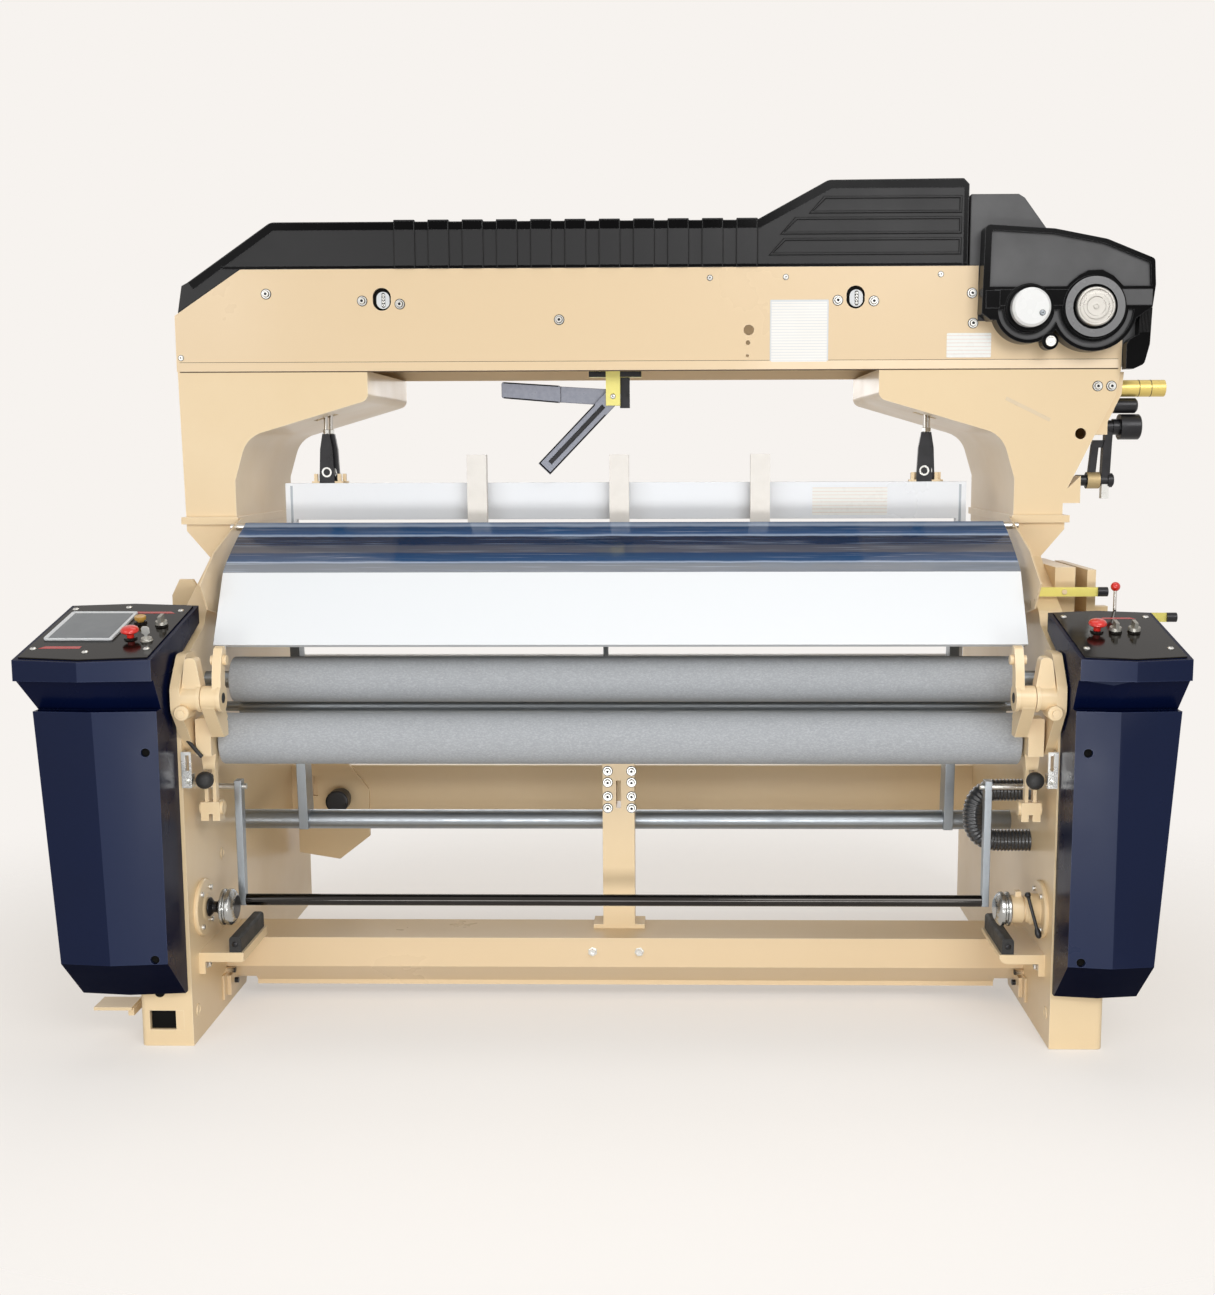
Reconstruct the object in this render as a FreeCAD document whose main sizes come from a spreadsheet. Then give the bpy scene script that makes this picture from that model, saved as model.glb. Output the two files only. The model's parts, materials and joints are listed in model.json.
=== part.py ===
import FreeCAD, Part
import math
import os

import Sketcher

# Power loom, in millimetres. X runs along the cloth width (right is +X), Y runs from the
# weaver's side to the warp side, Z is up. The origin is on the floor, in the middle of the four
# floor anchor holes. "station" sizes are measured backwards from the front of the feet.

SIZES = {
    # overall
    "frame_span": 1998, "frame_width": 124, "frame_depth": 1150, "web_width": 56,
    "box_height": 860, "arch_front": 430, "arch_back": "=frame_depth - 330",
    "arch_height": 60, "anchor_radius": 11, "anchor_inset": 62, "wall_bore_depth": 32,
    "running_gap": 0.05, "free_gap": 0.5,
    # overhead structure
    "column_front": 450, "column_back": "=frame_depth - 150", "pedestal_bottom": 1117,
    "pedestal_top": 1185, "band_top": 1202, "flange_top": 1220,
    "flange_reach": "=frame_span / 2 + 123", "column_inner": "=frame_span / 2 - 16",
    "column_outer": "=frame_span / 2 + 113", "gooseneck_tip": "=frame_span / 2 - 359",
    "gooseneck_bend": "=frame_span / 2 - 49", "gooseneck_wall": 10,
    "flare_reach": "=frame_span / 2 + 241",
    "beam_bottom": 1584, "beam_top": 1834, "beam_left": "=frame_span / 2 + 121",
    "beam_shoulder": "=frame_span / 2 - 48", "beam_step": "=frame_span / 2 - 118",
    "beam_shelf": 1700, "beam_plate": 6, "cover_wall": 6,
    "cover_top": 1948, "cover_rise": 2042, "cover_right": "=frame_span / 2 - 145",
    "rib_count": 11, "rib_pitch": 84.8, "rib_width": 52, "rib_height": 4, "rib_start": -565,
    # dobby
    "disc_place": "=frame_span / 2 + 154", "disc_height": 1728, "disc_radius": 51,
    "cap_place": "=frame_span / 2 - 4", "cap_height": 1726, "cap_radius": 47,
    "disc_lobe": 106, "cap_lobe": 84,
    # heald lifting
    "heald_station": 566, "heald_thick": 12, "heald_pitch": "=heald_thick + 4",
    "heald_half": "=frame_span / 2 - 114", "heald_top": 1303, "heald_bottom": 790,
    "heald_rail": 95, "heald_foot": 60, "heald_stile": 26,
    "rod_place": "=frame_span / 2 - 224", "rod_shift": 10, "rod_radius": 5,
    "jack_height": 1660, "jack_left": "=-rod_place - 100", "jack_right": "=rod_place - 100",
    "jack_arm": 90, "jack_thick": 6, "jack_shaft_radius": 12.5, "jack_eye": 14,
    "jack_hub": 24, "link_pin_radius": 5, "link_thick": 4, "link_gap": 0.4,
    "pull_end": "=beam_step + 59",
    # rollers
    "roller_half": "=frame_span / 2 - 69", "take_up_radius": 55, "take_up_station": 205,
    "take_up_height": 840, "press_radius": 60, "press_gap": 4,
    "press_station": 110, "press_height": 714,
    "press_journal": 15, "guide_radius": 25, "guide_station": 250, "guide_height": 767,
    "rest_radius": 50, "rest_station": "=frame_depth - 70", "rest_height": 1010,
    "journal_radius": 20, "small_journal": 12,
    "pivot_station": -35, "pivot_height": 834, "pivot_radius": 12, "hub_radius": 27.5,
    # cloth guide, chucks, bumpers
    "swing_station": 165, "swing_top": 586, "swing_bottom": 305,
    "swing_left": "=frame_span / 2 - 89", "swing_right": "=frame_span / 2 - 131",
    "swing_width": 17, "tube_radius": 14, "stud_radius": 7,
    "chuck_station": 101, "chuck_height": 306, "chuck_flange": 68, "spindle_radius": 12,
    "bumper_front": 60, "bumper_top": 206, "bumper_reach": 106,
    # beams low down
    "cross_front": 270, "cross_back": 420, "cross_top": 175, "cross_wall": 8,
    "cross_lip": 36, "lip_notch": "=frame_span / 2 - 63",
    "post_place": -12, "post_width": 81, "post_front": 345, "post_back": 415, "post_top": 650,
    "rear_front": "=frame_depth - 190", "rear_back": "=frame_depth - 70",
    "rear_bottom": 300, "rear_top": 470,
    # sley
    "sley_station": 470, "sley_height": 430, "sley_shaft": 25, "sley_top": 1030,
    "reed_half": "=frame_span / 2 - 149",
    # stay, links and levers
    "stay_place": -27, "stay_height": 1521, "stay_length": 254, "stay_half": 20.5,
    "link_axle_height": 1440,
    "axle_radius": 10, "axle_station": 500,
    "pedal_station": 150, "pedal_height": 60, "lever_upper_height": 1044, "lever_lower_height": 982,
    # hood
    "hood_half": "=frame_span / 2 - 49", "sheet_thick": 4, "hood_hinge_station": 412,
    "hood_hinge_height": 1196, "hood_tube_radius": 9,
    # consoles
    "console_front": -140, "head_front": -150, "head_back": 195, "head_front_top": 936,
    "head_back_top": 1020, "console_bottom": 135, "console_waist": 243,
    "console_shoulder": 819, "head_bottom": 889, "panel_thick": 3, "panel_inset": 10,
    "button_stem": 8,
    "right_head_back": 150, "right_head_back_top": 1005,
}

doc = FreeCAD.newDocument("power_loom")
sheet = doc.addObject("Spreadsheet::Sheet", "Sizes")
for row, (alias, value) in enumerate(SIZES.items(), start=1):
    sheet.set("A%d" % row, alias)
    sheet.set("B%d" % row, str(value))
    sheet.setAlias("B%d" % row, alias)
doc.recompute()


class Size:
    """A number together with the sheet formula that gives it."""

    def __init__(self, value, formula):
        self.value = float(value)
        self.formula = formula

    def _with(self, other, sign, value):
        return Size(value, "(%s %s %s)" % (self.formula, sign, other.formula))

    def __add__(self, other):
        other = size(other)
        return self._with(other, "+", self.value + other.value)

    def __sub__(self, other):
        other = size(other)
        return self._with(other, "-", self.value - other.value)

    def __mul__(self, other):
        other = size(other)
        return self._with(other, "*", self.value * other.value)

    def __truediv__(self, other):
        other = size(other)
        return self._with(other, "/", self.value / other.value)

    def __radd__(self, other):
        return size(other) + self

    def __rsub__(self, other):
        return size(other) - self

    def __rmul__(self, other):
        return size(other) * self

    def __neg__(self):
        return size(0) - self


def size(number):
    """Any number as a Size; a plain number becomes a constant in the formula."""
    if isinstance(number, Size):
        return number
    return Size(number, "(%.6f)" % float(number))


class Sheet:
    """Reads a driving size from the spreadsheet by its alias."""

    def __getattr__(self, alias):
        return Size(sheet.get(alias), "Sizes.%s" % alias)


S = Sheet()
FRONT = -S.frame_depth / 2
INNER = S.frame_span / 2


def at(station):
    """The Y of a place measured backwards from the front of the feet."""
    return FRONT + station


# ---------------------------------------------------------------- shapes

PLANE_AXES = {"XY_Plane": (0, 1), "XZ_Plane": (0, 2), "YZ_Plane": (1, 2)}


def bind(thing, **formulas):
    """Tie properties to sheet formulas; a double underscore stands for a dot."""
    for name, number in formulas.items():
        thing.setExpression(name.replace("__", "."), size(number).formula)
    return thing


def tie(sketch, kind, geometry, number, point=1):
    """Place one point of a sketch at a formula's distance from the sketch's origin."""
    number = size(number)
    if abs(number.value) < 1e-9:
        axis = -2 if kind == "DistanceX" else -1
        sketch.addConstraint(Sketcher.Constraint("PointOnObject", geometry, point, axis))
        return
    index = sketch.addConstraint(
        Sketcher.Constraint(kind, -1, 1, geometry, point, number.value))
    sketch.setExpression("Constraints[%d]" % index, number.formula)


def draw(sketch, outline):
    """Draw one closed outline of straight edges, with every corner tied to its formulas."""
    first = sketch.GeometryCount
    corners = [(size(a), size(b)) for a, b in outline]
    points = [FreeCAD.Vector(a.value, b.value, 0) for a, b in corners]
    count = len(points)
    edges = [Part.LineSegment(points[i], points[(i + 1) % count]) for i in range(count)]
    sketch.addGeometry(edges, False)
    for i in range(count):
        sketch.addConstraint(
            Sketcher.Constraint("Coincident", first + i, 2, first + (i + 1) % count, 1))
    for i, (a, b) in enumerate(corners):
        tie(sketch, "DistanceX", first + i, a)
        tie(sketch, "DistanceY", first + i, b)


def origin_plane(body, role):
    """The body's own origin plane of that role."""
    return next(f for f in body.Origin.OriginFeatures if f.Role == role)


def prism(role, outline, low, high, holes=()):
    """A body padded from an outline on an origin plane, between two places on its normal."""
    low, high = size(low), size(high)
    body = doc.addObject("PartDesign::Body", "Body")
    sketch = body.newObject("Sketcher::SketchObject", "Outline")
    sketch.AttachmentSupport = [(origin_plane(body, role), "")]
    sketch.MapMode = "FlatFace"
    offset = -high if role == "XZ_Plane" else low
    bind(sketch, AttachmentOffset__Base__z=offset)
    draw(sketch, outline)
    for hole in holes:
        draw(sketch, hole)
    pad = body.newObject("PartDesign::Pad", "Pad")
    pad.Profile = sketch
    bind(pad, Length=high - low)
    return body


def along_x(outline, low, high, holes=()):
    """A prism along X from a (Y, Z) outline."""
    return prism("YZ_Plane", outline, low, high, holes)


def along_y(outline, low, high, holes=()):
    """A prism along Y from an (X, Z) outline."""
    return prism("XZ_Plane", outline, low, high, holes)


def along_z(outline, low, high, holes=()):
    """A prism along Z from an (X, Y) outline."""
    return prism("XY_Plane", outline, low, high, holes)


def rounded(body, role, radius, corners):
    """Round the edges of a prism that stand on the given corners of its outline."""
    doc.recompute()
    first, second = PLANE_AXES[role]
    wanted = [(size(a).value, size(b).value) for a, b in corners]
    names = []
    for number, edge in enumerate(body.Tip.Shape.Edges, start=1):
        ends = [vertex.Point for vertex in edge.Vertexes]
        for a, b in wanted:
            if len(ends) == 2 and all(
                    abs(p[first] - a) < 0.01 and abs(p[second] - b) < 0.01 for p in ends):
                names.append("Edge%d" % number)
    base = body.Tip
    fillet = body.newObject("PartDesign::Fillet", "Fillet")
    fillet.Base = (base, names)
    bind(fillet, Radius=radius)
    return body


def block(x_low, x_high, y_low, y_high, z_low, z_high):
    """A box between two corners."""
    box = doc.addObject("Part::Box", "Block")
    return bind(box, Length=size(x_high) - x_low, Width=size(y_high) - y_low,
                Height=size(z_high) - z_low, Placement__Base__x=x_low,
                Placement__Base__y=y_low, Placement__Base__z=z_low)


TURN = {"X": FreeCAD.Rotation(FreeCAD.Vector(0, 1, 0), 90),
        "Y": FreeCAD.Rotation(FreeCAD.Vector(1, 0, 0), -90),
        "Z": FreeCAD.Rotation()}


def rod(axis, x, y, z, length, radius):
    """A cylinder that starts at a point and runs along +axis."""
    cylinder = doc.addObject("Part::Cylinder", "Rod")
    cylinder.Placement = FreeCAD.Placement(FreeCAD.Vector(), TURN[axis])
    return bind(cylinder, Radius=radius, Height=length, Placement__Base__x=x,
                Placement__Base__y=y, Placement__Base__z=z)


def rod_between(axis, low, high, u, v, radius):
    """A cylinder along an axis between two places; u and v are the other two coordinates."""
    low, high = size(low), size(high)
    place = {"X": (low, u, v), "Y": (u, low, v), "Z": (u, v, low)}[axis]
    return rod(axis, place[0], place[1], place[2], high - low, radius)


def turned(axis, x, y, z, profile):
    """A body of revolution: profile points are (place along the axis, radius)."""
    body = doc.addObject("PartDesign::Body", "Turned")
    sketch = body.newObject("Sketcher::SketchObject", "Profile")
    sketch.AttachmentSupport = [(origin_plane(body, "XY_Plane"), "")]
    sketch.MapMode = "FlatFace"
    draw(sketch, profile)
    spin = body.newObject("PartDesign::Revolution", "Revolution")
    spin.Profile = sketch
    spin.ReferenceAxis = (sketch, ["H_Axis"])
    spin.Angle = 360
    turn = {"X": FreeCAD.Rotation(), "Y": FreeCAD.Rotation(FreeCAD.Vector(0, 0, 1), 90),
            "Z": FreeCAD.Rotation(FreeCAD.Vector(0, 1, 0), -90)}[axis]
    body.Placement = FreeCAD.Placement(FreeCAD.Vector(), turn)
    return bind(body, Placement__Base__x=x, Placement__Base__y=y, Placement__Base__z=z)


def ball(x, y, z, radius):
    """A sphere."""
    sphere = doc.addObject("Part::Sphere", "Ball")
    return bind(sphere, Radius=radius, Placement__Base__x=x, Placement__Base__y=y,
                Placement__Base__z=z)


def joined(*pieces):
    """One solid from pieces that meet."""
    fuse = doc.addObject("Part::MultiFuse", "Joined")
    fuse.Shapes = list(pieces)
    fuse.Refine = True
    return fuse


def carved(base, *tools):
    """A piece less its tools."""
    cut = doc.addObject("Part::Cut", "Carved")
    cut.Base = base
    cut.Tool = tools[0] if len(tools) == 1 else joined(*tools)
    return cut


def shared(first, second):
    """What two pieces have in common."""
    common = doc.addObject("Part::Common", "Shared")
    common.Base = first
    common.Tool = second
    return common


def together(*pieces):
    """Separate solids that share one node."""
    group = doc.addObject("Part::Compound", "Together")
    group.Links = list(pieces)
    return group


NODES = {}


def node(label, piece):
    """Give a finished piece the name of its node."""
    piece.Label = label
    NODES[label] = piece
    return piece


def mirrored_outline(side, outline):
    """An (X, Z) or (X, Y) outline on the left (-1) or right (+1) side."""
    return [(side * size(a), b) for a, b in outline]


def ordered(side, inner, outer):
    """Low and high X of a piece between two distances from the middle."""
    return (size(inner), size(outer)) if side > 0 else (-size(outer), -size(inner))


def side_block(side, inner, outer, y_low, y_high, z_low, z_high):
    """A box on one side, between two distances from the middle."""
    low, high = ordered(side, inner, outer)
    return block(low, high, y_low, y_high, z_low, z_high)


def side_rod(side, inner, outer, y, z, radius):
    """A cylinder along X on one side, between two distances from the middle."""
    low, high = ordered(side, inner, outer)
    return rod_between("X", low, high, y, z, radius)


# ---------------------------------------------------------------- main frames

def side_frame(side, label):
    """Cast side frame: a box section below, a single web above, a pedestal for the gooseneck."""
    web_low, web_high = ordered(side, INNER, INNER + S.web_width)
    box_low, box_high = ordered(side, INNER + S.web_width, INNER + S.frame_width)
    depth = S.frame_depth
    feet = [(at(0), 0), (at(S.arch_front), 0), (at(S.arch_front + 40), S.arch_height),
            (at(S.arch_back - 40), S.arch_height), (at(S.arch_back), 0), (at(depth), 0)]
    web = along_x(feet + [(at(depth), 980), (at(depth - 30), 1070), (at(depth - 120), 1075),
                          (at(S.column_back), S.pedestal_bottom),
                          (at(S.column_front), S.pedestal_bottom), (at(400), 1090),
                          (at(300), 1040), (at(220), 1000), (at(202), 970), (at(15), 894),
                          (at(0), 874)], web_low, web_high)
    rounded(web, "YZ_Plane", 30, [(at(220), 1000), (at(202), 970), (at(depth), 980)])
    box = along_x(feet + [(at(depth), S.box_height - 60),
                          (at(depth - 60), S.box_height), (at(30), S.box_height),
                          (at(0), S.box_height - 30)], box_low, box_high)
    rounded(box, "XY_Plane", 14, [(side * (INNER + S.frame_width), at(0)),
                                  (side * (INNER + S.frame_width), at(depth))])
    pedestal = along_y(mirrored_outline(side, [
        (INNER, S.pedestal_bottom), (INNER + S.web_width, S.pedestal_bottom),
        (S.column_outer, S.pedestal_top), (S.column_outer, S.band_top),
        (S.column_inner, S.band_top), (S.column_inner, S.pedestal_top)]),
        at(S.column_front), at(S.column_back))
    pieces = [web, box, pedestal]
    middle = INNER + S.frame_width / 2
    bore = S.wall_bore_depth
    cuts = [rod("Z", side * middle, at(S.anchor_inset), 0, 40, S.anchor_radius),
            rod("Z", side * middle, at(depth - S.anchor_inset), 0, 40, S.anchor_radius),
            side_block(side, INNER + 22, INNER + S.frame_width - 22,
                       at(depth - 70), at(depth + 1), 40, 86)]
    if side < 0:
        ear = along_y([(-INNER - S.web_width, S.box_height), (-INNER - S.web_width, 1045),
                       (-INNER - S.web_width - 15, 1070), (-INNER - S.frame_width + 20, 1070),
                       (-INNER - S.frame_width, 1030), (-INNER - S.frame_width, S.box_height)],
                      at(350), at(362))
        stud = rod_between("X", -INNER - S.frame_width - 48, -INNER - S.frame_width + 4,
                           at(S.pedal_station), S.pedal_height, 8)
        pieces += [ear, stud]
        cuts.append(side_block(side, INNER + 22, INNER + S.frame_width - 22, at(-1), at(70),
                               40, 86))
    for station, height, radius in ((S.take_up_station, S.take_up_height, S.journal_radius),
                                    (S.guide_station, S.guide_height, S.small_journal),
                                    (S.rest_station, S.rest_height, S.journal_radius),
                                    (S.sley_station, S.sley_height, S.sley_shaft)):
        cuts.append(side_rod(side, INNER - 1, INNER + bore, at(station), height,
                             radius + S.running_gap))
    cuts.append(side_rod(side, INNER - 1, INNER + 20, at(S.swing_station), S.swing_top,
                         S.stud_radius))
    cuts += bolt_rods(side, S.pedestal_top - 20, S.flange_top, 6.5)
    node(label, carved(joined(*pieces), *cuts))


def bolt_rods(side, z_low, z_high, radius):
    """The four flange bolt places of one gooseneck, as cylinders."""
    return [rod_between("Z", z_low, z_high, side * place, at(station), radius)
            for place, station in bolt_places()]


def bolt_places():
    """Distance from the middle and station of the four flange bolts, clear of the walls."""
    outer = S.column_outer - S.gooseneck_wall - 28
    return [(place, station) for station in (S.column_front + 60, S.column_back - 60)
            for place in (S.column_inner + 30, outer)]


def flange_bolts_and_studs():
    """Bolts that hold the goosenecks, and the studs that the cloth guide hangs on."""
    pieces = []
    for side in (-1, 1):
        for place, station in bolt_places():
            pieces.append(turned("Z", side * place, at(station), S.flange_top, [
                (-(S.flange_top - S.pedestal_top + 15), 0),
                (-(S.flange_top - S.pedestal_top + 15), 6), (0, 6), (0, 10), (9, 10),
                (10, 8), (10, 0)]))
        reach = S.swing_left if side < 0 else S.swing_right
        low, high = ordered(side, reach - 10, INNER + 20)
        pieces.append(rod_between("X", low, high, at(S.swing_station), S.swing_top,
                                  S.stud_radius))
    node("fasteners", together(*pieces))


def cross_beams():
    """Folded front cross beam and the deep box beam at the back, with a bracket plate."""
    wall = S.cross_wall
    front, back, lip = at(S.cross_front), at(S.cross_back), S.cross_lip
    outer = [(front, S.cross_top), (front, S.cross_top - 75), (front + 50, 48),
             (front + 50, lip), (back, lip), (back, S.cross_top)]
    inner = [(front + wall, S.cross_top - wall), (front + wall, S.cross_top - 79),
             (front + 50 + wall, 51), (front + 50 + wall, lip + wall),
             (back - wall, lip + wall), (back - wall, S.cross_top - wall)]
    beam = along_x(outer, -INNER, INNER, [inner])
    notches = [side_block(side, S.lip_notch, INNER + 1, front - 1, back + 1, lip - 1, lip + 24)
               for side in (-1, 1)]
    plates = [carved(beam, *notches)]
    for side in (-1, 1):
        plates += [side_block(side, INNER - 14, INNER, front - 16, front + 60, 30, 80),
                   side_block(side, INNER - 5, INNER, front - 42, front + 10, 26, 88)]
        for station, height in ((S.cross_front - 6, 92), (S.cross_front + 16, 58)):
            plates.append(side_rod(side, INNER - 24, INNER, at(station), height, 7))
    node("front_cross_beam", joined(*plates))
    box = [(at(S.rear_front), S.rear_bottom), (at(S.rear_back), S.rear_bottom),
           (at(S.rear_back), S.rear_top), (at(S.rear_front), S.rear_top)]
    hole = [(at(S.rear_front) + wall, S.rear_bottom + wall),
            (at(S.rear_back) - wall, S.rear_bottom + wall),
            (at(S.rear_back) - wall, S.rear_top - wall),
            (at(S.rear_front) + wall, S.rear_top - wall)]
    rear = along_x(box, -INNER, INNER, [hole])
    left = -INNER
    plate = along_y([(left + 19, 210), (left + 139, 190), (left + 229, 260), (left + 229, 400),
                     (left + 169, 480), (left + 59, 480), (left + 19, 430)],
                    at(S.rear_front - 12), at(S.rear_front),
                    [[(left + 64, 380), (left + 79, 380), (left + 79, 440), (left + 64, 440)]])
    motor = turned("Y", left + 148, at(S.rear_front - 78), 376, [
        (0, 0), (0, 27), (4, 33), (40, 33), (44, 28), (68, 28), (68, 0)])
    node("rear_cross_beam", joined(rear, plate, motor))


def middle_support():
    """Post on the front cross beam, with the middle bearing of the rocking shaft."""
    low = S.post_place - S.post_width / 2
    high = S.post_place + S.post_width / 2
    post = block(low, high, at(S.post_front), at(S.post_back), S.cross_top, S.post_top)
    foot = block(low - 25, high + 25, at(S.post_front), at(S.post_back), S.cross_top,
                 S.cross_top + 12)
    bearing = block(S.post_place - 25, S.post_place + 25, at(S.post_back),
                    at(S.sley_station + 40), S.sley_height - 40, S.sley_height + 40)
    bore = rod_between("X", S.post_place - 30, S.post_place + 30, at(S.sley_station),
                       S.sley_height, S.sley_shaft + S.running_gap)
    slot = block(S.post_place - 6, S.post_place + 6, at(S.post_front - 1), at(S.post_back + 1),
                 490, 560)
    node("middle_support", carved(joined(post, foot, bearing), bore, slot))


# ---------------------------------------------------------------- overhead structure

def gooseneck(side, label):
    """Welded box arm that carries the beam, open at its top, with a slot for the lifting rods."""
    wall = S.gooseneck_wall
    if side < 0:
        outer_edge = [(S.column_outer, S.flange_top), (S.beam_left - 2, S.beam_bottom)]
        inner_edge = [(S.column_outer - wall, S.flange_top),
                      (S.beam_left - 2 - wall, S.beam_bottom + 16)]
    else:
        outer_edge = [(S.column_outer - 6, S.flange_top), (S.column_outer - 6, 1266),
                      (S.flare_reach - 12, 1518), (S.flare_reach, S.beam_bottom)]
        inner_edge = [(S.column_outer - 6 - wall, S.flange_top),
                      (S.column_outer - 6 - wall, 1270),
                      (S.flare_reach - 22, 1522), (S.flare_reach - wall, S.beam_bottom + 16)]
    tip, bend = S.gooseneck_tip, S.gooseneck_bend
    arch = [(tip, S.beam_bottom), (tip, 1512), (bend, 1421), (S.column_inner, 1312),
            (S.column_inner, S.flange_top)]
    hollow = [(tip + wall, S.beam_bottom + 16), (tip + wall, 1519), (bend + 7, 1429),
              (S.column_inner + wall, 1315), (S.column_inner + wall, S.flange_top)]
    shell = along_y(mirrored_outline(side, arch + outer_edge), at(S.column_front),
                    at(S.column_back))
    rounded(shell, "XZ_Plane", 22, mirrored_outline(side, [(tip, 1512)]))
    rounded(shell, "XZ_Plane", 75, mirrored_outline(side, [(bend, 1421)]))
    cavity = along_y(mirrored_outline(side, hollow + inner_edge), at(S.column_front) + wall,
                     at(S.column_back) - wall)
    rounded(cavity, "XZ_Plane", 12, mirrored_outline(side, [(tip + wall, 1519)]))
    rounded(cavity, "XZ_Plane", 85, mirrored_outline(side, [(bend + 7, 1429)]))
    flange = side_block(side, S.column_inner - 5, S.flange_reach, at(S.column_front - 10),
                        at(S.column_back + 10), S.band_top, S.flange_top)
    slot_low, slot_high = ordered(side, S.rod_place - 28, S.rod_place + 30)
    slot = block(slot_low, slot_high, heald_y(0) - 16, heald_y(1) + 16, 1400, 1550)
    sight = rod_between("Y", at(S.column_front - 1), at(S.column_front + 12),
                        side * (INNER + 146), 1423, 14)
    cuts = [cavity, slot] + bolt_rods(side, S.band_top - 5, S.flange_top + 5, 6.5)
    if side > 0:
        cuts.append(sight)
        lug = along_y([(INNER + 105, 1250), (INNER + 150, 1250), (INNER + 150, 1318),
                       (INNER + 105, 1275)], at(S.column_front), at(S.column_front + 60))
        node(label, carved(joined(shell, flange, lug), *cuts))
    else:
        node(label, carved(joined(shell, flange), *cuts))


def overhead_beam():
    """Folded channel, open below, with two windows and the two cross shafts of the jack levers."""
    plate = S.beam_plate
    outer = [(-S.beam_left, S.beam_bottom), (S.flare_reach, S.beam_bottom),
             (S.flare_reach, S.beam_shelf), (S.beam_step, S.beam_shelf),
             (S.beam_step, S.beam_top), (-S.beam_shoulder, S.beam_top),
             (-S.beam_left, S.beam_top - 112)]
    inner = [(-S.beam_left + plate, S.beam_bottom - 20),
             (S.flare_reach - plate, S.beam_bottom - 20),
             (S.flare_reach - plate, S.beam_shelf - plate),
             (S.beam_step - plate, S.beam_shelf - plate),
             (S.beam_step - plate, S.beam_top - plate),
             (-S.beam_shoulder + 2, S.beam_top - plate),
             (-S.beam_left + plate, S.beam_top - 115)]
    front, back = at(S.column_front), at(S.column_back)
    channel = along_y(outer, front, back)
    room = along_y(inner, front + plate, back - plate)
    windows = []
    for place, height, radius in ((-599, 1765, 23), (-599, 1755, 23), (579, 1765, 23),
                                  (579, 1755, 23), (315, 1681, 13), (313, 1650, 6),
                                  (312, 1618, 4)):
        windows.append(rod_between("Y", front - 1, front + 10, place, height, radius))
    passage = pull_rod_way(S.beam_step - 20, S.beam_step + 20)
    shafts = [rod_between("Y", front + 3, back - 3, place, S.jack_height, S.jack_shaft_radius)
              for place in (S.jack_left, S.jack_right)]
    node("overhead_beam", joined(carved(channel, room, passage, *windows), *shafts))


def pull_rod_way(low, high):
    """Room for both pull rods between two places along the beam."""
    height = S.jack_height + S.jack_arm
    return block(low, high, heald_y(0) - 20, heald_y(1) + 20, height - 30, height + 30)


def top_cover():
    """Moulded cover over the beam, raised at its right end, with a row of ribs."""
    wall, top, rise = S.cover_wall, S.cover_top, S.cover_rise
    left, right = -S.beam_left, S.cover_right
    outer = [(left + 8, 1728), (left + 20, 1795), (left + 35, 1803), (left + 248, top),
             (right - 520, top), (right - 345, rise), (right - 14, rise + 2),
             (right, rise - 12), (right, S.beam_top), (-S.beam_shoulder, S.beam_top)]
    inner = [(left + 12 + wall, 1728), (left + 21 + wall, 1790), (left + 250, top - wall),
             (right - 518, top - wall), (right - 343, rise - wall),
             (right - 16, rise + 2 - wall), (right - wall, rise - 16), (right - wall, 1800),
             (-S.beam_shoulder, 1800)]
    front, back = at(S.column_front), at(S.column_back)
    hood = along_y(outer, front, back)
    rounded(hood, "XZ_Plane", 30, [(right - 520, top), (right - 345, rise),
                                   (left + 248, top)])
    room = along_y(inner, front + wall, back - wall)
    ribs = []
    for number in range(int(S.rib_count.value)):
        start = S.rib_start + number * S.rib_pitch
        ribs.append(block(start, start + S.rib_width, front - S.rib_height,
                          back + S.rib_height, S.beam_top, top + S.rib_height))
    panels = []
    for low, high, start in ((1862, 1902, right - 490), (1912, 1952, right - 462),
                             (1962, 2002, right - 392)):
        slant = (high - low) * 0.9
        panels.append(along_y([(start, low), (right - 18, low), (right - 18, high),
                               (start + slant, high)], front - 3, front + 3,
                              [[(start + 9, low + 5), (right - 23, low + 5),
                                (right - 23, high - 5), (start + slant + 4, high - 5)]]))
    node("top_cover", carved(joined(hood, *ribs, *panels), room))


# ---------------------------------------------------------------- dobby

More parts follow.
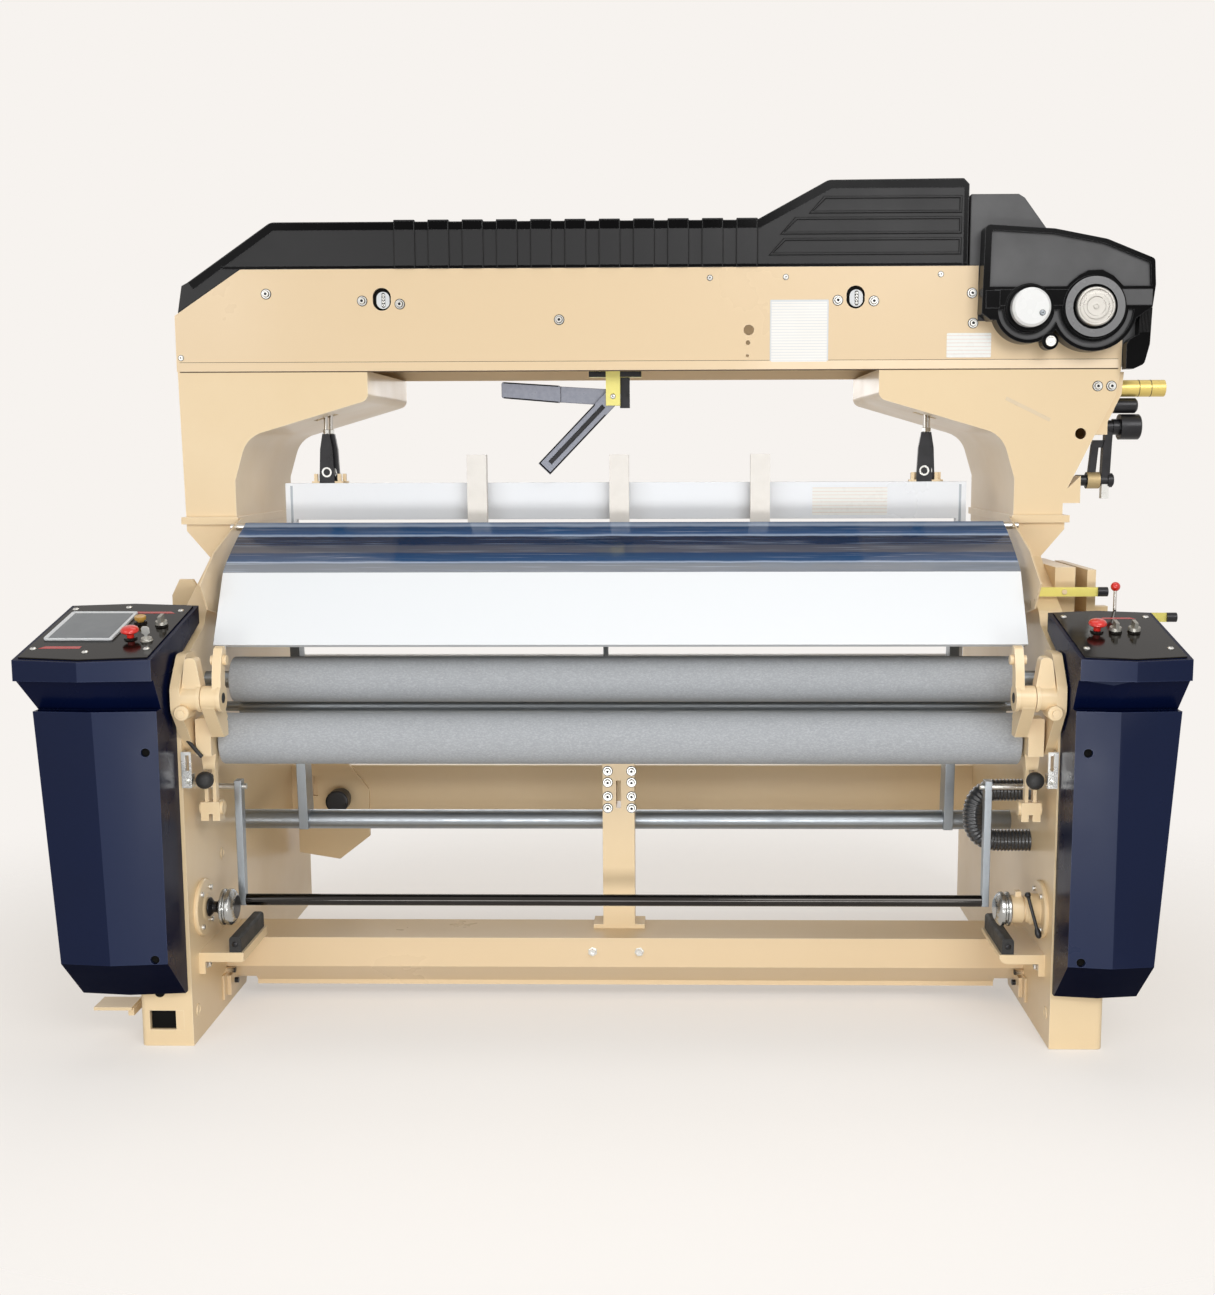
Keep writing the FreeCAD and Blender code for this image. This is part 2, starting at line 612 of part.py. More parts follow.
def dobby():
    """Front and rear case of the dobby at the right end of the beam, and its hand disc."""
    front = at(S.column_front)
    disc, disc_z, cap, cap_z = S.disc_place, S.disc_height, S.cap_place, S.cap_height
    face = front - 54
    floor = front - 45
    corners = [(S.beam_step - 1, 1715), (S.beam_step + 21, 1698), (disc + 99, 1698),
               (disc + 142, 1728), (disc + 148, 1781), (disc + 144, 1843), (disc + 27, 1890),
               (disc - 100, 1915), (S.beam_step + 4, 1926)]
    plate = along_y(corners, face, front)
    rounded(plate, "XZ_Plane", 12, [corners[5], corners[8]])
    rounded(plate, "XZ_Plane", 60, [corners[6], corners[7]])
    lobes = [rod_between("Y", face, front, cap, cap_z, S.cap_lobe),
             rod_between("Y", face, front, disc, disc_z, S.disc_lobe)]
    split = disc_z + 50
    upper_outline = [(S.beam_step + 18, split), (disc - 66, split), (disc - 39, split + 26),
                     (disc - 16, split + 38), (disc + 18, split + 39), (disc + 46, split + 24),
                     (disc + 70, split), (disc + 137, split), (disc + 133, 1834),
                     (disc + 22, 1879), (disc - 102, 1903), (S.beam_step + 20, 1912)]
    upper = along_y(upper_outline, face - 1, floor)
    rounded(upper, "XZ_Plane", 50, upper_outline[9:11])
    rounded(upper, "XZ_Plane", 8, [upper_outline[8], upper_outline[11]])
    lower = []
    for place, height, lobe, collar in ((cap, cap_z, S.cap_lobe, S.cap_radius + 16),
                                        (disc, disc_z, S.disc_lobe, 76)):
        ring = carved(rod_between("Y", face - 1, floor, place, height, lobe - 9),
                      rod_between("Y", face - 2, floor + 1, place, height, collar))
        lower.append(shared(ring, block(place - 120, place + 120, face - 1, floor, 1600,
                                        disc_z - 6)))
    body = carved(joined(plate, *lobes), upper, *lower)
    collar = turned("Y", disc, front - 66, disc_z, [
        (0, 0), (0, 72), (3, 76), (12, 76), (12, 84), (16, 84), (16, 0)])
    cap_ring = turned("Y", cap, front - 60, cap_z, [
        (0, 0), (0, S.cap_radius + 9), (3, S.cap_radius + 12), (10, S.cap_radius + 12),
        (10, 0)])
    cap_boss = turned("Y", cap, front - 88, cap_z, [
        (0, 0), (0, S.cap_radius - 6), (6, S.cap_radius), (38, S.cap_radius), (38, 0)])
    corner_block = block(S.beam_step + 8, S.beam_step + 42, face - 6, face + 4, 1726, 1768)
    band = block(S.beam_step + 30, disc + 140, face - 3, face + 2, disc_z + 4, split - 8)
    knob = turned("Y", disc - 105, front - 62, 1646, [
        (0, 0), (0, 14), (4, 20), (42, 20), (42, 0)])
    edge = S.flare_reach
    corner_outline = [(edge + 1, 1580), (edge + 20, 1580), (edge + 46, 1592), (edge + 58, 1640),
                      (edge + 61, 1728), (edge + 30, 1728), (edge + 30, 1664),
                      (edge + 8, 1652), (edge + 1, 1640)]
    corner = along_y(corner_outline, front - 34, front)
    rounded(corner, "XZ_Plane", 16, [corner_outline[2]])
    well = rod_between("Y", front - 67, front - 55, disc, disc_z, S.disc_radius + 3)
    shaft_bore = rod_between("Y", front - 60, front - 15, disc, disc_z,
                             S.journal_radius + S.running_gap)
    node("dobby_front_case", carved(joined(body, collar, cap_ring, cap_boss, corner_block, band,
                                           knob, corner), well, shaft_bore))
    rear = along_y([(S.beam_step, S.beam_shelf), (S.flare_reach, S.beam_shelf),
                    (S.flare_reach, 1590), (S.flare_reach + 22, 1590),
                    (S.flare_reach + 59, 1665), (S.flare_reach + 65, 1781),
                    (S.flare_reach + 60, 1835), (disc - 100, 1913),
                    (S.cover_right + 136, 1997), (S.cover_right + 121, 2006),
                    (S.cover_right + 4, 2006), (S.cover_right + 4, S.beam_top),
                    (S.beam_step, S.beam_top)], front, at(S.column_back))
    pocket = pull_rod_way(S.beam_step - 1, S.pull_end + 60)
    node("dobby_rear_case", carved(rear, pocket))
    node("hand_disc", turned("Y", disc, front - 76, disc_z, [
        (0, 0), (0, 6), (3, 6), (3, 30), (0, 33), (0, S.disc_radius - 4),
        (4, S.disc_radius), (20, S.disc_radius), (20, S.journal_radius),
        (55, S.journal_radius), (55, 0)]))


# ---------------------------------------------------------------- heald lifting mechanism

def heald_y(number):
    """The middle plane of one heald frame and of its levers."""
    return at(S.heald_station + number * S.heald_pitch)


def heald_frame(number):
    """Top and bottom rails between two stiles."""
    middle = heald_y(number)
    half = S.heald_half
    outline = [(-half, S.heald_bottom), (half, S.heald_bottom), (half, S.heald_top),
               (-half, S.heald_top)]
    window = [(-half + S.heald_stile, S.heald_bottom + S.heald_foot),
              (half - S.heald_stile, S.heald_bottom + S.heald_foot),
              (half - S.heald_stile, S.heald_top - S.heald_rail),
              (-half + S.heald_stile, S.heald_top - S.heald_rail)]
    node("heald_frame_%d" % (number + 1),
         along_y(outline, middle - S.heald_thick / 2, middle + S.heald_thick / 2, [window]))


def rod_x(side, number):
    """Where a lifting rod stands; the second frame's rods are shifted to the right."""
    return side * S.rod_place + number * S.rod_shift


def lift_rods(number):
    """Two lifting rods, each with a forged end below and a slotted head above."""
    middle = heald_y(number)
    low = middle - S.jack_thick / 2 - S.link_gap - S.link_thick
    high = middle - S.jack_thick / 2 - S.link_gap
    pieces = []
    for side in (-1, 1):
        x = rod_x(side, number)
        end = along_y([(x - 20, S.heald_top), (x + 20, S.heald_top), (x + 18, 1345),
                       (x + 16, 1390), (x + 9, 1430), (x - 9, 1430), (x - 16, 1390),
                       (x - 18, 1345)], middle - 6, middle + 6)
        pin = rod_between("Y", middle - 6.8, middle + 6.8, x, 1331, 9)
        bar = rod_between("Z", 1425, S.jack_height - 20, x, middle, S.rod_radius)
        head = along_y([(x - 22, S.jack_height - 34), (x + 22, S.jack_height - 34),
                        (x + 22, S.jack_height + 18), (x - 22, S.jack_height + 18)], low, high,
                       [slot_outline(x, S.jack_height, 13, 3)])
        pieces.append(joined(end, pin, bar, head))
    node("lift_rods_%d" % (number + 1), together(*pieces))


def slot_outline(x, z, reach, drop):
    """A slot round a link pin that leaves it room to swing: reach sideways, drop up and down."""
    room = S.link_pin_radius + S.free_gap
    return [(x - room - reach, z - room - drop), (x + room + reach, z - room - drop),
            (x + room + reach, z + room + drop), (x - room - reach, z + room + drop)]


def arm_outline(x, z, to_x, to_z, near, far):
    """A tapered arm between two eyes."""
    x, z, to_x, to_z = size(x), size(z), size(to_x), size(to_z)
    length = math.hypot(to_x.value - x.value, to_z.value - z.value)
    along = ((to_x.value - x.value) / length, (to_z.value - z.value) / length)
    across = (-along[1], along[0])
    return [(x + near * across[0], z + near * across[1]),
            (x - near * across[0], z - near * across[1]),
            (to_x - far * across[0], to_z - far * across[1]),
            (to_x + far * across[0], to_z + far * across[1])]


def jack_lever(side_name, pivot, side, number):
    """Bell crank: one arm lifts the rod, the other is moved by the pull rod."""
    middle = heald_y(number)
    low, high = middle - S.jack_thick / 2, middle + S.jack_thick / 2
    reach = S.jack_thick / 2 + S.link_gap + S.link_thick
    pin_x = rod_x(side, number)
    height = S.jack_height
    pieces = [rod_between("Y", middle - 7, middle + 7, pivot, height, S.jack_hub),
              rod_between("Y", low, high, pin_x, height, S.jack_eye),
              rod_between("Y", low, high, pivot, height + S.jack_arm, S.jack_eye),
              rod_between("Y", middle - reach, low, pin_x, height, S.link_pin_radius),
              rod_between("Y", high, middle + reach, pivot, height + S.jack_arm,
                          S.link_pin_radius),
              along_y(arm_outline(pivot, height, pin_x, height, 18, 10), low, high),
              along_y(arm_outline(pivot, height, pivot, height + S.jack_arm, 18, 10), low,
                      high)]
    bore = rod_between("Y", middle - 8, middle + 8, pivot, height,
                       S.jack_shaft_radius + S.running_gap)
    node("jack_lever_%s_%d" % (side_name, number + 1), carved(joined(*pieces), bore))


def pull_rod(number):
    """Flat rod from the dobby that moves both levers of one heald frame."""
    middle = heald_y(number)
    low = middle + S.jack_thick / 2 + S.link_gap
    high = low + S.link_thick
    height = S.jack_height + S.jack_arm
    bar = block(S.jack_left - 30, S.pull_end, low, high, height - 10, height + 10)
    lugs = [along_y([(place - 20, height - 26), (place + 20, height - 26),
                     (place + 20, height + 14), (place - 20, height + 14)], low, high)
            for place in (S.jack_left, S.jack_right)]
    room = S.link_pin_radius + S.free_gap
    slots = [block(place - room - 2.5, place + room + 2.5, low - 1, high + 1,
                   height - room - 11, height + room + 1)
             for place in (S.jack_left, S.jack_right)]
    node("pull_rod_%d" % (number + 1), carved(joined(bar, *lugs), *slots))


def guide_rail():
    """Cross rail with three upright guides in front of the heald frames."""
    front, back = at(S.heald_station - 66), at(S.heald_station - 26)
    pieces = [block(-INNER, INNER, front, back, 940, 1000)]
    for place in (-377, -12, 349):
        pieces.append(block(place - 25, place + 25, front + 4, front + 32, 1000, 1375))
    node("guide_rail", joined(*pieces))


def sley():
    """Rocking shaft, three swords, sley beam and the reed."""
    y, z = at(S.sley_station), S.sley_height
    low = S.sley_top - 70
    shaft = rod_between("X", -INNER - 30, INNER + 30, y, z, S.sley_shaft)
    swords = []
    for place in (-S.reed_half + 15, S.reed_half - 15):
        swords.append(along_x([(y - 34, z - 20), (y + 34, z - 20), (y + 30, z + 40),
                               (y - 20, low), (y - 70, low)], place - 12, place + 12))
    middle = S.post_place - S.post_width / 2
    swords.append(along_x([(y - 12, z - 20), (y + 34, z - 20), (y + 34, z + 60), (y - 20, low),
                           (y - 62, low), (y - 12, z + 280)], middle + 1, middle + 13))
    beam = along_x([(y - 80, low), (y - 15, low), (y - 15, S.sley_top - 12),
                    (y - 30, S.sley_top), (y - 80, S.sley_top)],
                   -S.reed_half - 20, S.reed_half + 20)
    reed = along_y([(-S.reed_half, S.sley_top), (S.reed_half, S.sley_top),
                    (S.reed_half, S.sley_top + 110), (-S.reed_half, S.sley_top + 110)],
                   y - 50, y - 42)
    node("sley", together(joined(shaft, *swords, beam), reed))


# ---------------------------------------------------------------- rollers

def plain_roller(label, station, height, radius, journal):
    """Covered roller whose journals run in the side frames."""
    half = S.roller_half
    end = INNER + S.wall_bore_depth - 4
    node(label, turned("X", 0, at(station), height, [
        (-end, 0), (-end, journal), (-half, journal), (-half, radius), (half, radius),
        (half, journal), (end, journal), (end, 0)]))


def press_roller():
    """Roller carried by the two press arms."""
    half, radius, journal = S.roller_half, S.press_radius, S.press_journal
    end = half + 38
    node("press_roller", turned("X", 0, at(S.press_station), S.press_height, [
        (-end, 0), (-end, journal), (-half, journal), (-half, radius - 3), (-half + 3, radius),
        (half - 3, radius), (half, radius - 3), (half, journal), (end, journal), (end, 0)]))


def roller_brackets():
    """Castings on the side frames that hold the pivots of the press arms, and latch plates."""
    pieces = []
    for side in (-1, 1):
        y, z = at(S.pivot_station), S.pivot_height
        corners = [(at(130), z - 144), (at(150), z - 34), (at(60), z + 96), (at(-6), z + 96),
                   (y - 27, z + 26), (y - 27, z - 26), (at(-2), z - 98), (at(40), z - 144)]
        plate = along_x(corners, *ordered(side, INNER - 22, INNER))
        rounded(plate, "YZ_Plane", 24, corners[2:7])
        web = mirrored_outline(side, [
            (INNER - 22, z), (INNER - 22, z + 20), (INNER - 32, z + 92), (INNER - 56, z + 92),
            (INNER - 66, z + 30), (INNER - 66, z)])
        gusset = along_y(web, y - 14, y + 20)
        rounded(gusset, "XZ_Plane", 11, web[2:4])
        boss = side_rod(side, INNER - 66, INNER - 10, y, z, S.hub_radius)
        ring = side_rod(side, INNER - 66, INNER - 58, y, z, S.hub_radius + 4)
        pin = side_rod(side, INNER - 112, INNER - 20, y, z, S.pivot_radius)
        lug = turned("Y", side * (INNER - 26), y - 40, z - 30, [
            (0, 0), (0, 8), (5, 8), (5, 15), (7, 17), (62, 17), (62, 0)])
        pieces.append(joined(plate, gusset, boss, ring, pin, lug))
        leg = side_block(side, INNER - 5, INNER, at(-6), at(20), 620, 704)
        face = side_block(side, INNER - 23, INNER - 4, at(-6), at(-1), 650, 704)
        foot = side_block(side, INNER - 23, INNER - 4, at(-6), at(20), 620, 650)
        slot = side_block(side, INNER - 18, INNER - 10, at(-7), at(0), 660, 696)
        hole = rod_between("Y", at(-7), at(12), side * (INNER - 14), 635, 6)
        pieces.append(carved(joined(leg, face, foot), slot, hole))
    node("roller_brackets", together(*pieces))


def press_arms():
    """Arms that carry the press roller, each with a forked lever, a clevis and a knob."""
    pieces = []
    for side in (-1, 1):
        y, z = at(S.pivot_station), S.pivot_height
        py, pz = at(S.press_station), S.press_height
        hub = side_rod(side, INNER - 112, INNER - 67, y, z, S.hub_radius)
        collar = side_rod(side, INNER - 112, INNER - 104, y, z, S.hub_radius + 4)
        edge = py - S.press_radius - S.press_gap
        web = along_x([(y - 20, z - 20), (y + 24, z + 16), (edge, z - 56), (at(15), z - 99)],
                      *ordered(side, INNER - 96, INNER - 67))
        step = along_y(mirrored_outline(side, [
            (INNER - 96, z - 99), (INNER - 96, z - 66), (INNER - 84, z - 56),
            (INNER - 36, z - 56), (INNER - 29, z - 64), (INNER - 29, z - 99)]),
            at(15), edge)
        cheek = side_block(side, INNER - 64, INNER - 29, at(15), at(72), z - 144, z - 58)
        housing_outline = [(py - 28, pz - 38), (py + 26, pz - 38), (py + 40, pz - 22),
                           (py + 40, pz + 22), (py + 26, pz + 38), (py - 28, pz + 38),
                           (py - 42, pz + 22), (py - 42, pz - 22)]
        housing = along_x(housing_outline, *ordered(side, INNER - 64, INNER - 29))
        taper = along_y(mirrored_outline(side, [
            (INNER - 64, z - 140), (INNER - 29, z - 140), (INNER - 33, z - 182),
            (INNER - 60, z - 182)]), at(48), at(74))
        bars = [side_block(side, INNER - 60, INNER - 52, at(52), at(72), 560, z - 170),
                side_block(side, INNER - 41, INNER - 33, at(52), at(72), 560, z - 170)]
        clevis = side_block(side, INNER - 68, INNER - 24, at(46), at(82), 530, 574)
        rounded_boss = side_rod(side, INNER - 74, INNER - 20, at(64), 558, 16)
        fork = side_block(side, INNER - 51, INNER - 42, at(30), at(90), 520, 546)
        upper_outline = [(y - 18, z + 10), (y + 16, z + 10), (y + 20, z + 60), (y + 36, z + 96),
                         (y + 28, z + 116), (y + 8, z + 112), (y - 6, z + 84), (y - 14, z + 50)]
        upper = along_x(upper_outline, *ordered(side, INNER - 112, INNER - 92))
        rounded(upper, "YZ_Plane", 8, upper_outline[4:6])
        lug = side_rod(side, INNER - 120, INNER - 84, y + 14, z + 84, 11)
        knob = turned("Y", side * (INNER - 46.5), at(-4), 634, [
            (0, 0), (1, 9), (5, 16), (13, 20), (22, 20), (34, 14), (42, 9), (58, 9), (58, 0)])
        bore = side_rod(side, INNER - 121, INNER - 20, y, z, S.pivot_radius + S.running_gap)
        eye = side_rod(side, INNER - 70, INNER - 20, py, pz, S.press_journal + S.running_gap)
        pieces.append(carved(joined(hub, collar, web, step, cheek, housing, taper, *bars, clevis,
                                    rounded_boss, upper, lug, knob), bore, eye, fork))
    node("press_arms", together(*pieces))


def cloth_guide():
    """Bright tube hung from two flat arms."""
    y = at(S.swing_station)
    node("guide_tube", rod_between("X", -S.swing_left, S.swing_right, y, S.swing_bottom,
                                   S.tube_radius))
    arms = []
    for low, high in ((-S.swing_left - S.swing_width, -S.swing_left),
                      (S.swing_right, S.swing_right + S.swing_width)):
        bar = along_x([(y - 10, S.swing_bottom - 12), (y + 10, S.swing_bottom - 12),
                       (y + 14, S.swing_top + 16), (y - 14, S.swing_top + 16)], low, high)
        hole = rod_between("X", low - 1, high + 1, y, S.swing_top,
                           S.stud_radius + S.running_gap)
        arms.append(carved(bar, hole))
    node("guide_arms", together(*arms))


def chucks():
    """Cloth-roll chucks and the housings that carry them."""
    y, z = at(S.chuck_station), S.chuck_height
    sleeves = {-1: [(15, 26), (15, 0)],
               1: [(30, 38), (36, 32), (44, 32), (44, 28), (49, 28), (49, 33), (76, 33),
                   (76, 0)]}
    housings = []
    for side, sleeve in sleeves.items():
        profile = [(0, 0), (0, S.chuck_flange), (7, S.chuck_flange),
                   (10, S.chuck_flange - 3), (10, 36)]
        body = turned("X", 0, y, z, [(side * (INNER - depth), radius)
                                     for depth, radius in profile + sleeve])
        bolts = []
        for angle in (50, 130, 230, 310):
            turn = math.radians(angle)
            bolts.append(side_rod(side, INNER - 15, INNER - 6, y + 52 * math.cos(turn),
                                  z + 52 * math.sin(turn), 6))
        bore = side_rod(side, INNER - 77, INNER - 4, y, z, S.spindle_radius + S.running_gap)
        pieces = [body] + bolts
        if side > 0:
            pieces.append(side_block(side, INNER - 66, INNER - 52, y - 9, y + 9, z + 26,
                                     z + 44))
        housings.append(carved(joined(*pieces), bore))
    node("chuck_housings", together(*housings))
    waist = [(44, 22), (36, 13), (28, 13), (20, 23), (17, 23), (17, S.spindle_radius)]
    for label, side, face, radius, neck in (("chuck_left", -1, 84, 43, waist),
                                            ("chuck_right", 1, 113, 40,
                                             [(79, S.spindle_radius)])):
        start = face - 34
        profile = [(face, 0), (face, radius - 16), (face - 6, radius - 6),
                   (face - 12, radius), (face - 20, radius), (face - 22, radius - 5),
                   (face - 26, radius - 5), (face - 28, radius), (start, radius)]
        if side < 0:
            profile.append((start, 22))
        profile += neck + [(6, S.spindle_radius), (6, 0)]
        node(label, turned("X", 0, y, z, [(side * (INNER - depth), reach)
                                          for depth, reach in profile]))


def bumpers():
    """Brackets low on the frames that reach back to the cross beam, with a rubber bar on each."""
    pieces = []
    top, reach = S.bumper_top, S.bumper_reach
    front, back = at(S.bumper_front), at(S.cross_front) - S.free_gap
    for side, corner in ((-1, 6), (1, 20)):
        outline = mirrored_outline(side, [
            (INNER, top - 52), (INNER, top), (INNER - reach, top), (INNER - reach, top - 22),
            (INNER - 14, top - 22), (INNER - 14, top - 52)])
        lip = along_y(outline, front, front + 10)
        rounded(lip, "XZ_Plane", corner, outline[3:4])
        shelf = side_block(side, INNER - reach, INNER, front, back, top - 10, top)
        leg = side_block(side, INNER - 9, INNER, front, back, top - 52, top)
        bracket = [lip, shelf, leg]
        if side < 0:
            bracket.append(side_block(side, INNER - reach, INNER - reach + 8, front + 8, back,
                                      top - 22, top))
        low, high = ordered(side, INNER - 100, INNER - 72)
        rubber_outline = [(low, top), (high, top), (high, top + 38), (low, top + 38)]
        rubber = along_y(rubber_outline, front + 4, back - 6)
        rounded(rubber, "XZ_Plane", 8, rubber_outline[2:4])
        pieces += [joined(*bracket), rubber]
    node("bumpers", together(*pieces))


# ---------------------------------------------------------------- hood

def hood():
    """White front panel and clear window on a hinge tube, between two fixed end shields."""
    t = S.sheet_thick
    half = S.hood_half
    hinge_y, hinge_z = at(S.hood_hinge_station), S.hood_hinge_height
    panel = along_x([(at(107), 936), (at(205), 1098), (at(205) + t * 0.46, 1098 - t * 0.89),
                     (at(112), 939), (at(130), 932), (at(129), 928)], -half, half)
    tube = rod_between("X", -INNER + 12, INNER - 12, hinge_y, hinge_z, S.hood_tube_radius)
    node("hood_panel", together(panel, tube))
    curve = [(205, 1098), (235, 1119), (290, 1150), (350, 1180), (414, 1207)]
    outer = [(at(y), z) for y, z in curve]
    under = [(at(y) + t * 0.46, size(z) - t * 0.89) for y, z in reversed(curve)]
    groove = rod_between("X", -half - 1, half + 1, hinge_y, hinge_z, S.hood_tube_radius)
    node("hood_window", carved(along_x(outer + under, -half, half), groove))
    shields = []
    for side in (-1, 1):
        low, high = ordered(side, INNER - 27, INNER - 23)
        plate = along_x([(at(451), 1218), (at(217), 1144), (at(102), 1077), (at(153), 1014),
                         (at(300), 985), (at(451), 985)], low, high)
        spacer = side_block(side, INNER - 23, INNER, at(310), at(380), 990, 1025)
        hole = rod_between("X", low - 1, high + 1, hinge_y, hinge_z,
                           S.hood_tube_radius + S.running_gap)
        shields.append(carved(joined(plate, spacer), hole))
    node("end_shields", together(*shields))


# ---------------------------------------------------------------- consoles

CONSOLES = {
    "left": {"side": -1, "inner": INNER + 9, "outer": INNER + 283, "foot": INNER + 249,
             "ridge": INNER + 148, "foot_ridge": INNER + 134, "head_outer": INNER + 313,
             "head_ridge": INNER + 166},
    "right": {"side": 1, "inner": INNER + 4, "outer": INNER + 233, "foot": INNER + 193,
              "ridge": INNER + 97, "foot_ridge": INNER + 99, "head_outer": INNER + 244,
              "head_ridge": INNER + 121},
}


BALL_LEVER = INNER + 166

# the places of the controls: distance from the middle, and station
STOP_LEFT, STOP_RIGHT = (-INNER - 93, -30), (INNER + 81, 13)
START, DIAL_LEFT = (-INNER - 105, 71), (-INNER - 50, 52)
DIAL_RIGHT = ((INNER + 122, 12), (INNER + 164, 12))


def flat_section(outline, height):
    """A closed sketch at one height, for a loft."""
    sketch = doc.addObject("Sketcher::SketchObject", "Section")
    draw(sketch, outline)
    return bind(sketch, Placement__Base__z=height)


def loft(*sections):
    """A faceted solid through closed sketches."""
    shape = doc.addObject("Part::Loft", "Loft")
    shape.Sections = list(sections)
    shape.Solid = True
    shape.Ruled = True
    return shape


def plan(c, outer, ridge, front, back, back_ridge=None):
    """The five- or six-cornered plan of a console, with a ridge down its front."""
    side = c["side"]
    corners = [(side * c["inner"], back), (side * c["inner"], front + 14), (side * ridge, front),
               (side * outer, front + 14), (side * outer, back)]
    if back_ridge is not None:
        corners.append((side * ridge, back_ridge))
    return corners


def console(name):
    """Folded cabinet with a ridged front, a recessed neck and a sloping head."""
    c = CONSOLES[name]
    side = c["side"]
    front = at(S.console_front)
    back = at(0)
    cabinet = loft(
        flat_section(plan(c, c["foot"], c["foot_ridge"], at(-30), back), S.console_bottom),
        flat_section(plan(c, c["foot"] + 2, c["foot_ridge"], front, back), S.console_waist),
        flat_section(plan(c, c["outer"], c["ridge"], front, back), S.console_shoulder))
    neck = loft(
        flat_section(plan(c, c["outer"], c["ridge"], front + 30, back), S.console_shoulder),
        flat_section(plan(c, c["head_outer"], c["head_ridge"], front - 12, back),
                     S.head_bottom + 2))
    front_y = at(S.head_front)
    if name == "left":
        back_y, back_top = at(S.head_back), S.head_back_top
    else:
        back_y, back_top = at(S.right_head_back), S.right_head_back_top
    cover = along_z(plan(c, c["head_outer"], c["head_ridge"], front_y - 14, back_y,
                         back_y + 14), 860, 1060)
    low, high = ordered(side, c["inner"] - 5, c["head_outer"] + 5)
    slope = (back_top - S.head_front_top) / (back_y - front_y)
    slab = along_x([(front_y - 30, S.head_bottom), (at(-17), 893),
                    (back_y + 30, back_top - 40 + 10), (back_y + 30, back_top + 30 * slope),
                    (front_y - 30, S.head_front_top - 30 * slope)], low, high)
    pieces = [cabinet, neck, shared(cover, slab)]
    if name == "right":
        pieces.append(block(BALL_LEVER - 15, BALL_LEVER + 15, back_y - 20, back_y + 34, 955,
                            985))
    holes = []
    for height, place in ((727, c["inner"] + 28), (254, c["inner"] + 28)):
        holes.append(rod_between("Y", front - 20, front + 30, side * place, height, 10))
    if name == "right":
        holes.append(rod_between("X", BALL_LEVER - 16, BALL_LEVER + 16, back_y + 24, 970,
                                 4.1))
        holes.append(block(BALL_LEVER - 7, BALL_LEVER + 7, back_y + 15.5, back_y + 35, 950,
                           990))
    node("console_%s" % name, carved(joined(*pieces), *holes))
    inset = S.panel_inset
    lid_plan = dict(c, inner=c["inner"] + 10)
    lid_cut = along_z(plan(lid_plan, c["head_outer"] - inset, c["head_ridge"],
                           front_y - 14 + inset, back_y - inset, back_y + 14 - inset), 860, 1070)
    lift = S.panel_thick
    lid_slab = along_x([(front_y - 30, S.head_front_top - 30 * slope),
                        (back_y + 30, back_top + 30 * slope),
                        (back_y + 30, back_top + 30 * slope + lift),
                        (front_y - 30, S.head_front_top - 30 * slope + lift)], low, high)
    return shared(lid_cut, lid_slab)


SLOPE_LEFT = math.degrees(math.atan2(S.head_back_top.value - S.head_front_top.value,
                                     S.head_back.value - S.head_front.value))
SLOPE_RIGHT = math.degrees(math.atan2(
    S.right_head_back_top.value - S.head_front_top.value,
    S.right_head_back.value - S.head_front.value))


def panel_height(name, station):
    """Z of a console's top panel at a station."""
    back_y, back_top = ((S.head_back, S.head_back_top) if name == "left"
                        else (S.right_head_back, S.right_head_back_top))
    slope = (back_top - S.head_front_top) / (back_y - S.head_front)
    return S.head_front_top + (size(station) - S.head_front) * slope + S.panel_thick


def tilted(piece, name, x, station, lift=0.0):
    """Stand a piece, made round the origin with +Z up, on a console's sloping panel."""
    angle = SLOPE_LEFT if name == "left" else SLOPE_RIGHT
    piece.Placement = FreeCAD.Placement(
        FreeCAD.Vector(), FreeCAD.Rotation(FreeCAD.Vector(1, 0, 0), angle))
    lean = math.radians(angle)
    return bind(piece, Placement__Base__x=x,
                Placement__Base__y=at(station) - lift * math.sin(lean),
                Placement__Base__z=panel_height(name, station) + lift * math.cos(lean))


def flat_on_panel(name, x, station, half_x, half_y, thick, lift=0.0):
    """A flat plate lying on a console's sloping panel."""
    plate = along_z([(-half_x, -half_y), (half_x, -half_y), (half_x, half_y),
                     (-half_x, half_y)], 0, thick)
    return tilted(plate, name, x, station, lift)


def turned_on_panel(name, x, station, profile, lift=0.0):
    """A turned control standing on a console's sloping panel."""
    body = doc.addObject("PartDesign::Body", "Control")
    sketch = body.newObject("Sketcher::SketchObject", "Profile")
    sketch.AttachmentSupport = [(origin_plane(body, "XZ_Plane"), "")]
    sketch.MapMode = "FlatFace"
    draw(sketch, [(radius, height) for height, radius in profile])
    spin = body.newObject("PartDesign::Revolution", "Revolution")
    spin.Profile = sketch
    spin.ReferenceAxis = (sketch, ["V_Axis"])
    spin.Angle = 360
    return tilted(body, name, x, station, lift)


